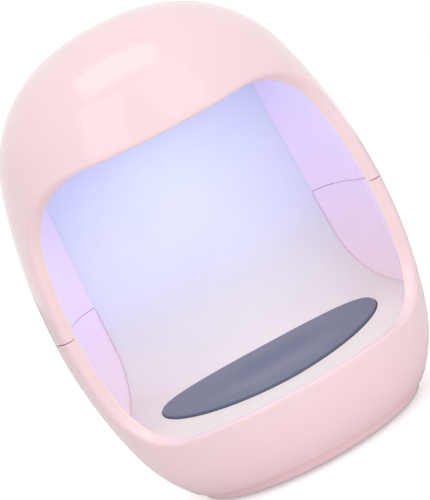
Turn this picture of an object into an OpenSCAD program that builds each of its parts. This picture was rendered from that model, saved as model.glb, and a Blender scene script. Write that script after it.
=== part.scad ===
// Desk lamp for curing nail varnish under one fingertip: an egg-shaped housing
// cut open at the front, a white liner behind the opening, a pad in its floor
// that presses a switch, and three light-emitting diodes over the ceiling.

/* [Egg] */
// Width of the egg across its widest level
body_w = 50; // [49:0.5:52]
// Height from the table to the top of the crown
body_h = 64; // [63.5:0.5:66]
// Height of the widest level above the table
wide_z = 27.8; // [27.2:0.2:28.2]
// Radius of the crown in side view
crown_r = 36.3; // [35.5:0.1:37.5]
// Radius of the shoulder in side view
shoulder_r = 19; // [18.5:0.1:19.5]
// Radius of the side above the widest level
side_r = 74.7; // [72:0.1:78]
// Radius of the side below the widest level
flank_r = 64.5; // [62:0.1:68]
// Angle below the widest level at which the flank turns into the foot curve
flank_angle = 16; // [15:0.5:17]
// Radius of the foot curve
foot_r = 20.5; // [20:0.1:21]
// Wall of both shells
wall = 1.65; // [1.5:0.05:1.8]
// Height of the joint between the two shells
parting_z = 28.5; // [28.3:0.1:29.2]
// Height of the tongue that locates the upper shell on the lower one
tongue_h = 1.05; // [0.8:0.05:1.3]
// Thickness of that tongue
tongue_t = 0.6; // [0.5:0.05:0.7]

/* [Opening] */
// Distance by which the side rims stand in front of the axis
rim_front = 9.1; // [8.6:0.1:9.8]
// Height of the crown's top above the visor's edge at the front of the egg
visor_drop = 18; // [17.4:0.2:18.6]
// Rise of the visor's edge towards the back, in degrees
visor_angle = 11; // [9:0.5:13]
// Corner radius where the visor turns into the side rims
visor_corner_r = 8.2; // [7.4:0.1:8.8]
// Height of the lower lip
lip_z = 11.4; // [11.2:0.1:11.8]
// Corner radius where the lip turns into the side rims
lip_corner_r = 7.7; // [7:0.1:8.4]

/* [Liner] */
// Thickness of the white liner
liner_t = 1.2; // [1:0.1:1.3]
// Gap between the liner's edges and the shells
liner_gap = 0.15; // [0.1:0.05:0.3]
// Distance from the axis to the deepest place of the liner's back wall
back_y = 14.2; // [13.8:0.1:14.5]
// Height of that deepest place
back_z = 30; // [29.5:0.5:31]
// Radius of the back wall in side view
back_r = 49; // [46:1:52]
// Height of the liner's floor on the axis
floor_z = 13.2; // [13:0.1:13.4]
// Rise of the floor towards the back, in degrees
floor_angle = 7; // [6.5:0.5:7.5]
// Radius between the floor and the back wall
floor_corner_r = 10.5; // [10:0.1:11]
// Height of the crown's top above the liner's ceiling
crown_room = 13.8; // [13.6:0.1:14]
// Radius between the ceiling and the back wall
ceiling_corner_r = 3; // [2.6:0.1:3.6]

/* [Press pad] */
// Width of the pad
pad_w = 33.2; // [32.4:0.2:33.6]
// Length of the pad in front of its widest line
pad_front = 14.4; // [14:0.1:14.8]
// Length of the pad behind its widest line
pad_rear = 5.9; // [5.6:0.1:6.2]
// Distance of the pad's widest line in front of the axis
pad_mid = 0.8; // [0.6:0.1:1]
// Roundness of the pad's rear end, where 2 is an ellipse
pad_rear_power = 3; // [2.6:0.1:3.4]
// Height by which the pad stands proud of the floor
pad_proud = 0.3; // [0.2:0.05:0.4]
// Thickness of the pad's cap
pad_t = 1.2; // [1.1:0.05:1.3]
// Width by which the pad's flange reaches under the floor
pad_flange = 0.9; // [0.7:0.1:1]
// Thickness of that flange
pad_flange_t = 0.8; // [0.6:0.1:0.9]
// Gap around the pad in the floor
pad_gap = 0.3; // [0.2:0.05:0.4]
// Width of the hollow in which the fingertip lies
dish_w = 24; // [22:0.5:25]
// Length of that hollow
dish_l = 13; // [12:0.5:14]
// Depth of that hollow
dish_t = 0.45; // [0.3:0.05:0.6]
// Travel of the pad when it is pressed
pad_travel = 0.6; // [0.4:0.05:0.65]
// Diameter of the pad's two guide stems
stem_d = 2.4; // [2.2:0.1:2.6]
// Distance between the guide stems
stem_spacing = 20; // [19.5:0.5:20.5]

/* [Base] */
// Diameter of the plinth
plinth_d = 32.6; // [31.8:0.2:33.4]
// Height of the plinth's top above the table
plinth_h = 2; // [1.9:0.05:2.1]
// Diameter of the grip pad under the plinth
grip_d = 25; // [24:0.5:26]
// Thickness of the grip pad
grip_t = 0.9; // [0.8:0.05:1]
// Height by which the grip pad stands proud of the plinth
grip_proud = 0.4; // [0.3:0.05:0.5]

/* [Electronics] */
// Height of the control board's underside
board_z = 5.9; // [5.8:0.1:6.1]
// Thickness of both circuit boards
board_t = 1.2; // [1:0.1:1.3]
// Side of the push switch
switch_w = 6; // [5.8:0.1:6.2]
// Height of the switch housing
switch_h = 2.9; // [2.7:0.1:3]
// Diameter of the switch plunger
plunger_d = 3.4; // [3.2:0.1:3.6]
// Width of the supply socket
socket_w = 8.9; // [8.7:0.1:9.1]
// Height of the supply socket
socket_h = 3.2; // [3.1:0.1:3.3]
// Length of the supply socket
socket_l = 7.3; // [7:0.1:7.5]
// Width of the lamp board
lamp_board_w = 24; // [23.5:0.5:25]
// Depth of the lamp board
lamp_board_l = 15; // [14:0.5:15.5]
// Distance between the light-emitting diodes
diode_spacing = 7; // [6.6:0.1:7.2]
// Diameter of a diode's lens
lens_d = 4.6; // [4.2:0.1:4.8]
// Diameter of one internal lead
lead_d = 1.2; // [1:0.1:1.3]

/* [Hidden] */
$fn = 64;
cut = 0.5;
touch_gap = 0.05;
seam_gap = 0.08;
running_gap = 0.06;
half_w = body_w/2;
far_front = -body_w;

// Arc centres of the egg's side view, radius to the right and height up
crown_c = [0, body_h - crown_r];
side_c = [half_w - side_r, wide_z];
flank_c = [half_w - flank_r, wide_z];
foot_c = flank_c + (flank_r - foot_r)*[cos(flank_angle), -sin(flank_angle)];
shoulder_c = arc_between(crown_c, crown_r - shoulder_r, side_c, side_r - shoulder_r);
crown_angle = heading(shoulder_c - crown_c);
side_angle = heading(shoulder_c - side_c);
visor_z = body_h - visor_drop;
split_rise = 0.6;
split_z = visor_z + split_rise;

// Arc centres of the opening's side view, y to the right and height up
visor_corner = [-rim_front - visor_corner_r,
                visor_z + (half_w - rim_front - visor_corner_r)*tan(visor_angle)
                - visor_corner_r/cos(visor_angle)];
lip_corner = [-rim_front - lip_corner_r, lip_z + lip_corner_r];

// Arc centres of the liner's side view
ceiling_z = body_h - crown_room;
back_c = [back_y - back_r, back_z];
floor_corner = floor_corner_centre();
ceiling_corner = [back_c[0] + sqrt(pow(back_r - ceiling_corner_r, 2)
                                   - pow(ceiling_z - ceiling_corner_r - back_z, 2)),
                  ceiling_z - ceiling_corner_r];

// Levels of the pad, measured upwards from the floor's plane
pad_under = pad_proud - pad_t;
flange_high = -liner_t/cos(floor_angle) - touch_gap;
flange_low = flange_high - pad_flange_t;
skirt_t = 1.2;
dish_back = 4.2;
dish_ball_h = 2;

// Levels of the pieces that stack up between the plinth and the pad
inner_floor_z = plinth_h + wall;
board_top = board_z + board_t;
switch_y = -4;
switch_top = board_top + switch_h;
switch_cover_t = 0.25;
switch_corner_r = 0.5;
nub_drop = 0.1;
nub_z = floor_at(switch_y - plunger_d/2) + pad_under - nub_drop;
nub_d = 3;
cap_root = 0.6;
plunger_top = nub_z - touch_gap;
plunger_lip = 0.55;
plunger_flange_d = plunger_d + 2*plunger_lip;
plunger_flange_t = 0.5;
plunger_foot = 0.25;
plunger_foot_z = switch_top - touch_gap - plunger_flange_t - plunger_foot;
chamber_gap = 0.2;
chamber_d = plunger_flange_d + 2*chamber_gap;
chamber_floor_t = 0.7;
chamber_z = board_top + chamber_floor_t;
dome_t = 0.1;
dome_h = plunger_foot_z - pad_travel - touch_gap - dome_t - chamber_z;
dome_gap = 0.25;
dome_d = chamber_d - 2*dome_gap;
guide_rise = 2;
guide_top = board_top + guide_rise;
stem_room = 0.15;
stem_low = inner_floor_z + pad_travel + stem_room;

// Screws, posts and their places
pilot_d = 1.6;
screw_clear_d = 2.1;
head_d = 3.4;
head_t = 1.1;
recess_t = 0.5;
recess_w = 0.5;
recess_l = 0.6*head_d;
screw_l = 4;
tip_gap = 0.2;
pilot_floor = 1;
post_d = 4.4;
base_screw_r = 9;
base_screw_angles = [30, 150, 270];
base_screw_reach = 2.6;
base_post_gap = 0.4;
rest_d = 3;
rest_wall_r = egg_radius(floor_z - 2*liner_t, wall);
rest_inset = [2.3, 0.63];
rest_angles = [25.3, -47];

// Hooks that lock the shells together behind the liner
hook_angles = [52, 128];
hook_w = 4;
hook_t = 1.1;
hook_gap = 0.15;
hook_rise = 4;
hook_root = 6;
hook_catch = 0.6;
hook_lead = 1;
hook_step = 0.5;
hook_catch_z = parting_z + tongue_h + hook_lead;
hook_catch_h = 1.2;
hook_r = egg_radius(parting_z + hook_rise, wall) - hook_gap;

// Control board and what stands on it
board_gap = 0.6;
board_r = egg_radius(board_z, wall) - board_gap;
board_flat = 3.3;
board_post_inset = 3.6;
board_post_angles = [35.3, 144.7, -44, -136];
board_posts = [for (a = board_post_angles) (board_r - board_post_inset)*ray(a)];
socket_wall = 0.3;
socket_sink = 0.88;
socket_z = board_top + socket_h/2;
socket_y = egg_radius(socket_z, 0) - socket_sink;
socket_clear = 0.3;
tongue_w = 6.7;
tongue_plate_t = 0.7;
tongue_l = 4.8;
tongue_root_l = 1.6;
contact_pitch = 1;
contact_gap = 0.6;
connector_size = [5.6, 4, 4];
connector_gap = [0.35, 1.75];
connector = [socket_w/2 + connector_gap[0] + connector_size[0]/2,
             board_posts[0][1] + connector_gap[1] + connector_size[1]/2];
pad_rear_y = pad_rear - pad_mid + pad_gap + pad_flange;
capacitor_y = (pad_rear_y + socket_y - socket_l)/2;
capacitor_d = 5;
capacitor_h = 4.6;
chip_size = [4.9, 3.9, 1.4];
chip_gap = 2.55;
chip_at = [0, switch_y - switch_w/2 - chip_gap - chip_size[1]/2];
transistor_at = [8, 2.6];
resistor_at = [-7, 4.6];
resistor_pitch = 2;

// Lamp board and its diodes under the crown
lamp_gap = 1.8;
lamp_board_z = ceiling_z + liner_t + lamp_gap;
lamp_board_top = lamp_board_z + board_t;
lamp_board_y = -3;
diode_y = -5;
package_w = 4.8;
package_t = 0.9;
lens_h = 1.6;
lens_r = (lens_d*lens_d/4 + lens_h*lens_h)/(2*lens_h);
lens_seat = 0.4;
window_gap = 0.7;
window_d = lens_d + 2*window_gap;
lamp_board_corner_r = 2;
lamp_screw = [9.3, 1.8];

// Route of the internal leads: share of the connector's offset, distance back, height,
// first from the control board, up behind the liner and last to the lamp board
lead_pitch = 2.5;
lead_y = 3.2;
lead_foot_z = board_top + connector_size[2];
lead_back_y = back_y + liner_t + lead_d/2;
lead_route = [[1, connector[1], lead_foot_z],
              [1, connector[1] + 0.2, lead_foot_z + 1.5],
              [1, lead_back_y - 1.2, lead_foot_z + 4.1],
              [1, lead_back_y + 1.1, lead_foot_z + 8.5],
              [1, lead_back_y + 1.9, back_z - 3],
              [1, lead_back_y + 1.8, back_z + 4],
              [0.9, lead_back_y + 1, lamp_board_top - 12.4],
              [0.6, lead_back_y - 1, lamp_board_top - 5.6],
              [0.3, lead_back_y - 5.2, lamp_board_top],
              [0, lead_y + 2.8, lamp_board_top + 2.6],
              [0, lead_y, lamp_board_top + 1.8],
              [0, lead_y, lamp_board_top + touch_gap]];
lead_sides = 8;
lead_steps = 4;

function ray(a) = [cos(a), sin(a)];
function heading(v) = atan2(v[1], v[0]);

// Centre at distance d1 from c1 and d2 from c2, on the right of the line from c1 to c2
function arc_between(c1, d1, c2, d2) =
  let (gap = norm(c2 - c1),
       along = (gap*gap + d1*d1 - d2*d2)/(2*gap),
       across = sqrt(d1*d1 - along*along),
       unit = (c2 - c1)/gap)
  c1 + along*unit + across*[unit[1], -unit[0]];

// Height of the liner's floor at y, lowered by d square to the floor
function floor_at(y, d = 0) = floor_z + y*tan(floor_angle) - d/cos(floor_angle);

// The floor's corner touches the floor line and the inside of the back arc
function floor_corner_centre() =
  let (reach = back_r - floor_corner_r,
       dir = ray(floor_angle),
       start = [0, floor_z + floor_corner_r/cos(floor_angle)] - back_c,
       foot = start - (start*dir)*dir)
  back_c + foot + sqrt(reach*reach - foot*foot)*dir;

// Radius of an arc at height z
function arc_radius(c, r, z) = c[0] + sqrt(r*r - pow(z - c[1], 2));

// Radius of the egg at height z below its crown, drawn inset from its outside
function egg_radius(z, inset) =
  z > side_c[1] + (side_r - inset)*sin(side_angle) ? arc_radius(shoulder_c, shoulder_r - inset, z)
  : z > wide_z ? arc_radius(side_c, side_r - inset, z)
  : z > flank_c[1] - (flank_r - inset)*sin(flank_angle) ? arc_radius(flank_c, flank_r - inset, z)
  : arc_radius(foot_c, foot_r - inset, z);

// Points of an arc in n even steps, without its last one
function arc_points(c, r, a0, a1, n) = [for (i = [0:n - 1]) c + r*ray(a0 + (a1 - a0)*i/n)];

// Point t of a smooth curve through the points p
function curve_at(p, t) =
  let (i = min(floor(t), len(p) - 2),
       f = t - i,
       a = p[max(i - 1, 0)],
       b = p[i],
       c = p[i + 1],
       d = p[min(i + 2, len(p) - 1)])
  b + 0.5*f*(c - a + f*(2*a - 5*b + 4*c - d + f*(3*(b - c) + d - a)));

// Slice of a disc between two heights, as one arc of the egg's side view
module band(c, r, low, high) {
  intersection() {
    translate(c) circle(r);
    translate([0, low]) square([body_w, high - low]);
  }
}

// Half of the egg's side view, drawn inset from its outside, between two heights
module egg_side(inset, low, high) {
  crown_low = crown_c[1] + (crown_r - inset)*sin(crown_angle);
  side_high = side_c[1] + (side_r - inset)*sin(side_angle);
  foot_high = flank_c[1] - (flank_r - inset)*sin(flank_angle);
  intersection() {
    translate([0, low]) square([body_w, high - low]);
    union() {
      translate([0, wide_z]) square([shoulder_c[0], crown_low + touch_gap - wide_z]);
      band(crown_c, crown_r - inset, crown_low, body_h + 1);
      band(shoulder_c, shoulder_r - inset, side_high, body_h + 1);
      band(side_c, side_r - inset, wide_z, side_high);
      band(flank_c, flank_r - inset, foot_high, wide_z);
      band(foot_c, foot_r - inset, 0, foot_high);
    }
  }
}

// The egg, turned in two stages that meet above the visor's edge
module egg(inset, low, high) {
  rotate(-90) {
    if (low < split_z) rotate_extrude() egg_side(inset, low, min(high, split_z));
    if (high > split_z) rotate_extrude() egg_side(inset, max(low, split_z), high);
  }
}

// Pie slice of a disc, as one round corner of a side view
module sector(c, r, a0, a1) {
  intersection() {
    translate(c) circle(r);
    polygon([c, c + 2*r*ray(a0), c + 2*r*ray((a0 + a1)/2), c + 2*r*ray(a1)]);
  }
}

// Turns a side view into a bar across the egg
module bar() rotate([90, 0, 90]) linear_extrude(2*body_w, center = true) children();

// Room that is cut out of the shells: visor line, side rim and lip line with round corners
module opening() {
  visor_up = 90 + visor_angle;
  bar() union() {
    polygon([[far_front, lip_z],
             [lip_corner[0], lip_z],
             lip_corner + lip_corner_r/2*ray(-45),
             [-rim_front, lip_corner[1]],
             [-rim_front, visor_corner[1]],
             visor_corner + visor_corner_r/2*ray(visor_up/2),
             visor_corner + visor_corner_r*ray(visor_up),
             [far_front, visor_z + (far_front + half_w)*tan(visor_angle)]]);
    sector(visor_corner, visor_corner_r, 0, visor_up);
    sector(lip_corner, lip_corner_r, -90, 0);
  }
}

// Room in front of the liner, grown outwards by d
module finger_room(d) {
  down = floor_angle - 90;
  low_turn = heading(floor_corner - back_c);
  high_turn = heading(ceiling_corner - back_c);
  bar() polygon(concat([[far_front, floor_at(far_front, d)]],
                       arc_points(floor_corner, floor_corner_r + d, down, low_turn, 12),
                       arc_points(back_c, back_r + d, low_turn, high_turn, 12),
                       arc_points(ceiling_corner, ceiling_corner_r + d, high_turn, 90, 6),
                       [[ceiling_corner[0], ceiling_z + d], [far_front, ceiling_z + d]]));
}

// Outline of the pad, grown by g: a half ellipse in front and a squarer half behind
function pad_point(t, g) =
  let (c = cos(t),
       s = sin(t),
       power = s > 0 ? pad_rear_power : 2,
       reach = s > 0 ? pad_rear : pad_front)
  [(pad_w/2 + g)*sign(c)*pow(abs(c), 2/power), (reach + g)*sign(s)*pow(abs(s), 2/power) - pad_mid];

module pad_outline(g) polygon([for (i = [0:59]) pad_point(6*i, g)]);

// Slab of the pad's outline, grown by g, between two levels over the floor's plane
module pad_slab(g, low, high) {
  intersection() {
    linear_extrude(body_h/2) pad_outline(g);
    bar() polygon([[-body_w, floor_at(-body_w) + low],
                   [body_w, floor_at(body_w) + low],
                   [body_w, floor_at(body_w) + high],
                   [-body_w, floor_at(-body_w) + high]]);
  }
}

module rounded_plate(w, l, t, r) {
  linear_extrude(t) hull() {
    for (x = [-1, 1]) for (y = [-1, 1]) {
      translate([x*(w/2 - r), y*(l/2 - r)]) circle(r, $fn = 32);
    }
  }
}

// Flat oval bar along y, centred, with round ends left and right
module oval_bar(w, h, l) {
  rotate([90, 0, 0]) linear_extrude(l, center = true) union() {
    square([w - h, h], center = true);
    for (x = [-1, 1]) translate([x*(w - h)/2, 0]) circle(d = h);
  }
}

// Screw that points down, with the underside of its head at z = 0
module pan_screw() {
  difference() {
    union() {
      cylinder(d = head_d, h = head_t);
      translate([0, 0, -screw_l]) cylinder(d = pilot_d, h = screw_l);
    }
    for (a = [0, 90]) {
      rotate(a) translate([0, 0, head_t]) cube([recess_l, recess_w, 2*recess_t], center = true);
    }
  }
}

module base_screw_places() {
  for (a = base_screw_angles) rotate(a) translate([base_screw_r, 0, 0]) children();
}

module board_screw_places() {
  for (p = board_posts) translate([p[0], p[1], 0]) children();
}

module guide_places() for (x = [-1, 1]) translate([x*stem_spacing/2, switch_y, 0]) children();

module diode_places() for (i = [-1:1]) translate([i*diode_spacing, diode_y, 0]) children();

module lamp_screw_places() for (x = [-1, 1]) translate([x*lamp_screw[0], lamp_screw[1], 0]) children();

// Post on the lower shell's floor, from inside the floor up to a height
module post(d, high) translate([0, 0, inner_floor_z - wall/2]) cylinder(d = d, h = high - inner_floor_z + wall/2);

module upper_shell() {
  color("#f6c9cf") difference() {
    union() {
      difference() {
        egg(0, parting_z, body_h + cut);
        egg(wall, parting_z - cut, body_h + cut);
      }
      intersection() {
        lamp_screw_places() translate([0, 0, lamp_board_top]) cylinder(d = post_d, h = body_h - lamp_board_top);
        egg(wall/2, lamp_board_top - cut, body_h);
      }
    }
    opening();
    difference() {
      egg(wall - tongue_t - seam_gap, parting_z - cut, parting_z + tongue_h + seam_gap);
      egg(wall + cut, parting_z - 2*cut, parting_z + tongue_h + cut);
    }
    lamp_screw_places() translate([0, 0, lamp_board_top - cut]) cylinder(d = pilot_d, h = screw_l + cut);
    for (a = hook_angles) rotate(a) {
      translate([hook_r - cut, -hook_w/2 - hook_gap, hook_catch_z - hook_gap]) {
        cube([hook_catch + hook_gap + cut, hook_w + 2*hook_gap, hook_catch_h + 2*hook_gap]);
      }
    }
  }
}

// Tab on the lower shell with a catch that snaps into the upper shell
module hook() {
  top = parting_z + hook_rise;
  rotate([90, 0, 0]) linear_extrude(hook_w, center = true) {
    polygon([[hook_r - hook_t, parting_z - hook_root],
             [hook_r, parting_z - hook_root - hook_t],
             [hook_r + wall/2, parting_z - hook_root - hook_t],
             [hook_r + wall/2, parting_z - 2*hook_step],
             [hook_r, parting_z - hook_step],
             [hook_r, hook_catch_z],
             [hook_r + hook_catch, hook_catch_z],
             [hook_r + hook_catch, hook_catch_z + hook_catch_h/2],
             [hook_r, hook_catch_z + hook_catch_h],
             [hook_r, top],
             [hook_r - hook_t, top]]);
  }
}

module lower_shell() {
  tongue_inset = wall - tongue_t;
  color("#f4c3ca") difference() {
    union() {
      difference() {
        egg(0, plinth_h, parting_z);
        egg(wall, inner_floor_z, parting_z + cut);
      }
      difference() {
        egg(tongue_inset, parting_z - cut, parting_z + tongue_h);
        egg(wall, parting_z - 2*cut, parting_z + tongue_h + cut);
      }
      for (a = hook_angles) rotate(a) hook();
      board_screw_places() post(post_d, board_z);
      guide_places() post(post_d, guide_top);
      base_screw_places() post(post_d, board_z - base_post_gap);
      for (i = [0, 1]) for (x = [-1, 1]) let (p = (rest_wall_r - rest_inset[i])*ray(rest_angles[i])) {
        translate([x*p[0], p[1], 0]) post(rest_d, floor_at(p[1] - rest_d/2, liner_t) - touch_gap);
      }
    }
    opening();
    difference() {
      egg(-body_w/4, plinth_h - wall, parting_z);
      egg(0, plinth_h - 2*wall, parting_z + cut);
    }
    board_screw_places() translate([0, 0, plinth_h + pilot_floor]) cylinder(d = pilot_d, h = board_z);
    guide_places() translate([0, 0, inner_floor_z]) cylinder(d = stem_d + 2*running_gap, h = guide_top);
    base_screw_places() translate([0, 0, plinth_h - cut]) {
      cylinder(d = pilot_d, h = base_screw_reach + tip_gap + cut);
    }
    translate([0, socket_y, socket_z]) {
      oval_bar(socket_w + 2*socket_clear, socket_h + 2*socket_clear, 4*wall);
    }
  }
}

module base_plate() {
  edge_r = 0.7;
  color("#f0bcc4") difference() {
    rotate_extrude() union() {
      translate([0, grip_proud]) square([plinth_d/2 - edge_r, plinth_h - grip_proud]);
      translate([0, grip_proud + edge_r]) square([plinth_d/2, plinth_h - grip_proud - edge_r]);
      translate([plinth_d/2 - edge_r, grip_proud + edge_r]) circle(edge_r);
    }
    cylinder(d = grip_d + 2*touch_gap, h = grip_t);
    base_screw_places() cylinder(d = screw_clear_d, h = plinth_h + cut);
    base_screw_places() base_screw_head(touch_gap);
  }
}

// Countersunk head that ends flush with the floor of the grip pad's recess
module base_screw_head(grow) {
  head_h = 0.9;
  translate([0, 0, grip_t]) cylinder(r1 = head_d/2 + grow, r2 = pilot_d/2 + grow, h = head_h);
}

module base_screws() {
  color("#b9bcc2") base_screw_places() difference() {
    union() {
      base_screw_head(0);
      translate([0, 0, grip_t]) cylinder(d = pilot_d, h = plinth_h + base_screw_reach - grip_t);
    }
    for (a = [0, 90]) rotate(a) translate([0, 0, grip_t]) cube([recess_l, recess_w, recess_t], center = true);
  }
}

module grip_pad() {
  groove_edge = 2.5;
  groove_r = grip_d/2 - groove_edge;
  groove_w = 1;
  groove_t = 0.3;
  color("#8d8f94") difference() {
    cylinder(d = grip_d, h = grip_t);
    difference() {
      translate([0, 0, -cut]) cylinder(r = groove_r + groove_w/2, h = groove_t + cut);
      translate([0, 0, -2*cut]) cylinder(r = groove_r - groove_w/2, h = groove_t + 3*cut);
    }
  }
}

// Rings of straight slope that follow the inside of the shells and trim the liner's edges
module liner_trim() {
  spare = 1;
  low = inner_floor_z + spare;
  high = ceiling_z + liner_t + spare;
  steps = 20;
  rotate_extrude() polygon([[0, low],
                            for (i = [0:steps]) let (z = low + (high - low)*i/steps) [egg_radius(z, wall + liner_gap), z],
                            [0, high]]);
}

module reflector() {
  color("#f3eff5") difference() {
    intersection() {
      difference() {
        finger_room(liner_t);
        finger_room(0);
      }
      liner_trim();
    }
    linear_extrude(body_h/2) pad_outline(pad_gap);
    diode_places() translate([0, 0, ceiling_z - cut]) cylinder(d = window_d, h = liner_t + 2*cut);
  }
}

// The hollow's ball is flattened so that its cut through the pad's top has the dish's size
module press_pad() {
  ball_cut = 2*dish_ball_h*sqrt(1 - pow(1 - dish_t/dish_ball_h, 2));
  dish_y = -pad_mid - dish_back;
  color("#858b9f") difference() {
    union() {
      difference() {
        union() {
          pad_slab(0, flange_low, pad_proud);
          pad_slab(pad_gap + pad_flange, flange_low, flange_high);
        }
        pad_slab(-skirt_t, flange_low - 1, pad_under);
      }
      guide_places() translate([0, 0, stem_low]) cylinder(d = stem_d, h = nub_z + cap_root - stem_low);
      translate([0, switch_y, nub_z]) cylinder(d = nub_d, h = cap_root);
    }
    translate([0, dish_y, floor_at(dish_y) + pad_proud]) rotate([floor_angle, 0, 0]) {
      translate([0, 0, dish_ball_h - dish_t]) scale([dish_w/ball_cut, dish_l/ball_cut, 1]) sphere(dish_ball_h);
    }
  }
}

module switch_housing() {
  color("#2b2d31") translate([0, switch_y, board_top]) difference() {
    rounded_plate(switch_w, switch_w, switch_h, switch_corner_r);
    translate([0, 0, chamber_z - board_top]) cylinder(d = chamber_d, h = switch_h);
  }
}

module switch_cover() {
  color("#c3c6cb") translate([0, switch_y, switch_top]) difference() {
    rounded_plate(switch_w, switch_w, switch_cover_t, switch_corner_r);
    translate([0, 0, -cut]) cylinder(d = plunger_d + 2*running_gap, h = switch_cover_t + 2*cut);
  }
}

module switch_dome() {
  dome_r = (dome_d*dome_d/4 + dome_h*dome_h)/(2*dome_h);
  color("#d8b25a") translate([0, switch_y, chamber_z]) intersection() {
    translate([0, 0, dome_h - dome_r]) difference() {
      sphere(dome_r + dome_t);
      sphere(dome_r);
    }
    cylinder(d = dome_d, h = 2*dome_h);
  }
}

module switch_plunger() {
  color("#3c3f45") translate([0, switch_y, 0]) union() {
    translate([0, 0, plunger_foot_z]) cylinder(d = plunger_d, h = plunger_top - plunger_foot_z);
    translate([0, 0, switch_top - touch_gap - plunger_flange_t]) cylinder(d = plunger_flange_d, h = plunger_flange_t);
  }
}

module control_board() {
  color("#2f7d4f") translate([0, 0, board_z]) difference() {
    linear_extrude(board_t) intersection() {
      circle(board_r);
      square([2*(board_r - board_flat), 2*body_w], center = true);
    }
    translate([0, 0, -cut]) {
      board_screw_places() cylinder(d = screw_clear_d, h = board_t + 2*cut);
      guide_places() cylinder(d = post_d + 2*pad_gap, h = board_t + 2*cut);
    }
  }
}

module board_screws() {
  color("#b9bcc2") board_screw_places() translate([0, 0, board_top]) {
    difference() {
      pan_screw();
      translate([0, 0, -screw_l - cut]) {
        cylinder(d = head_d, h = cut + screw_l - (board_top - plinth_h - pilot_floor - tip_gap));
      }
    }
  }
}

// Flat-bodied chip with four bent legs on either long side
module timer_chip() {
  stand = 0.1;
  leg = [0.4, 1.1, 0.2];
  knee = [0.4, 0.4, 0.8];
  leg_pitch = 1.27;
  color("#26282c") translate([chip_at[0], chip_at[1], board_top]) union() {
    translate([-chip_size[0]/2, -chip_size[1]/2, stand]) cube(chip_size);
    for (i = [-1.5:1.5]) for (s = [-1, 1]) translate([i*leg_pitch, s*chip_size[1]/2, 0]) {
      translate([-leg[0]/2, s*leg[1]/2 - leg[1]/2, 0]) cube(leg);
      translate([-knee[0]/2, s*knee[1]/2 - knee[1]/2, 0]) cube(knee);
    }
  }
}

// Three-legged power transistor with its cooling tab
module driver_transistor() {
  body = [4.5, 2.5, 1.5];
  leg = [0.45, 1, 0.35];
  leg_pitch = 1.5;
  tab = [0.7*body[0], 0.7, leg[2]];
  color("#2a2c30") translate([transistor_at[0], transistor_at[1], board_top]) union() {
    translate([-body[0]/2, -body[1]/2, 0]) cube(body);
    translate([-tab[0]/2, body[1]/2, 0]) cube(tab);
    for (i = [-1:1]) translate([i*leg_pitch - leg[0]/2, -body[1]/2 - leg[1], 0]) cube(leg);
  }
}

// Can with the rolled groove near its foot
module smoothing_capacitor() {
  groove_z = 1.1;
  groove_r = 0.3;
  groove_t = 0.2;
  color("#5a6f9e") translate([0, capacitor_y, board_top]) difference() {
    cylinder(d = capacitor_d, h = capacitor_h);
    translate([0, 0, groove_z]) rotate_extrude() {
      translate([capacitor_d/2 + groove_r - groove_t, 0]) circle(groove_r, $fn = 24);
    }
  }
}

module resistors() {
  size = [2, 1.25, 0.5];
  rim = 0.05;
  end = [0.4, size[1] + rim, size[2] + rim];
  color("#33363b") for (i = [0:2]) {
    translate([resistor_at[0], resistor_at[1] - i*resistor_pitch, board_top]) union() {
      translate([-size[0]/2, -size[1]/2, rim]) cube([size[0], size[1], size[2] - rim]);
      for (s = [-1, 1]) translate([s*(size[0] - end[0])/2 - end[0]/2, -end[1]/2, 0]) cube(end);
    }
  }
}

module socket_shell() {
  color("#c9ccd1") translate([0, socket_y - socket_l/2, socket_z]) difference() {
    oval_bar(socket_w, socket_h, socket_l);
    translate([0, socket_wall, 0]) oval_bar(socket_w - 2*socket_wall, socket_h - 2*socket_wall, socket_l);
  }
}

// Block at the back of the socket with the plate that carries the contacts
module socket_tongue() {
  root = socket_y - socket_l + socket_wall;
  inset = 2*socket_wall + touch_gap;
  color("#2c2e33") union() {
    translate([0, root + tongue_root_l/2, socket_z]) oval_bar(socket_w - inset, socket_h - inset, tongue_root_l);
    translate([-tongue_w/2, root, socket_z - tongue_plate_t/2]) {
      cube([tongue_w, tongue_root_l + tongue_l, tongue_plate_t]);
    }
  }
}

// Contact strips on both faces of the socket's plate
module socket_contacts() {
  strip = [0.5, 3.6, 0.08];
  start = socket_y - socket_l + socket_wall + tongue_root_l + contact_gap;
  color("#d8b25a") translate([0, 0, socket_z]) for (i = [-2.5:2.5]) for (s = [0, 1]) mirror([0, 0, s]) {
    translate([i*contact_pitch - strip[0]/2, start, tongue_plate_t/2]) cube(strip);
  }
}

// Two-way shrouded header with an open top and a slot in its front
module lead_connector() {
  w = connector_size[0];
  l = connector_size[1];
  h = connector_size[2];
  t = 0.5;
  slot_h = 1.2;
  color("#ece7da") translate([connector[0], connector[1], board_top]) difference() {
    translate([-w/2, -l/2, 0]) cube(connector_size);
    translate([-w/2 + t, -l/2 - cut, h - slot_h]) cube([w - 2*t, cut + t/2, slot_h + cut]);
  }
}

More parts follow.
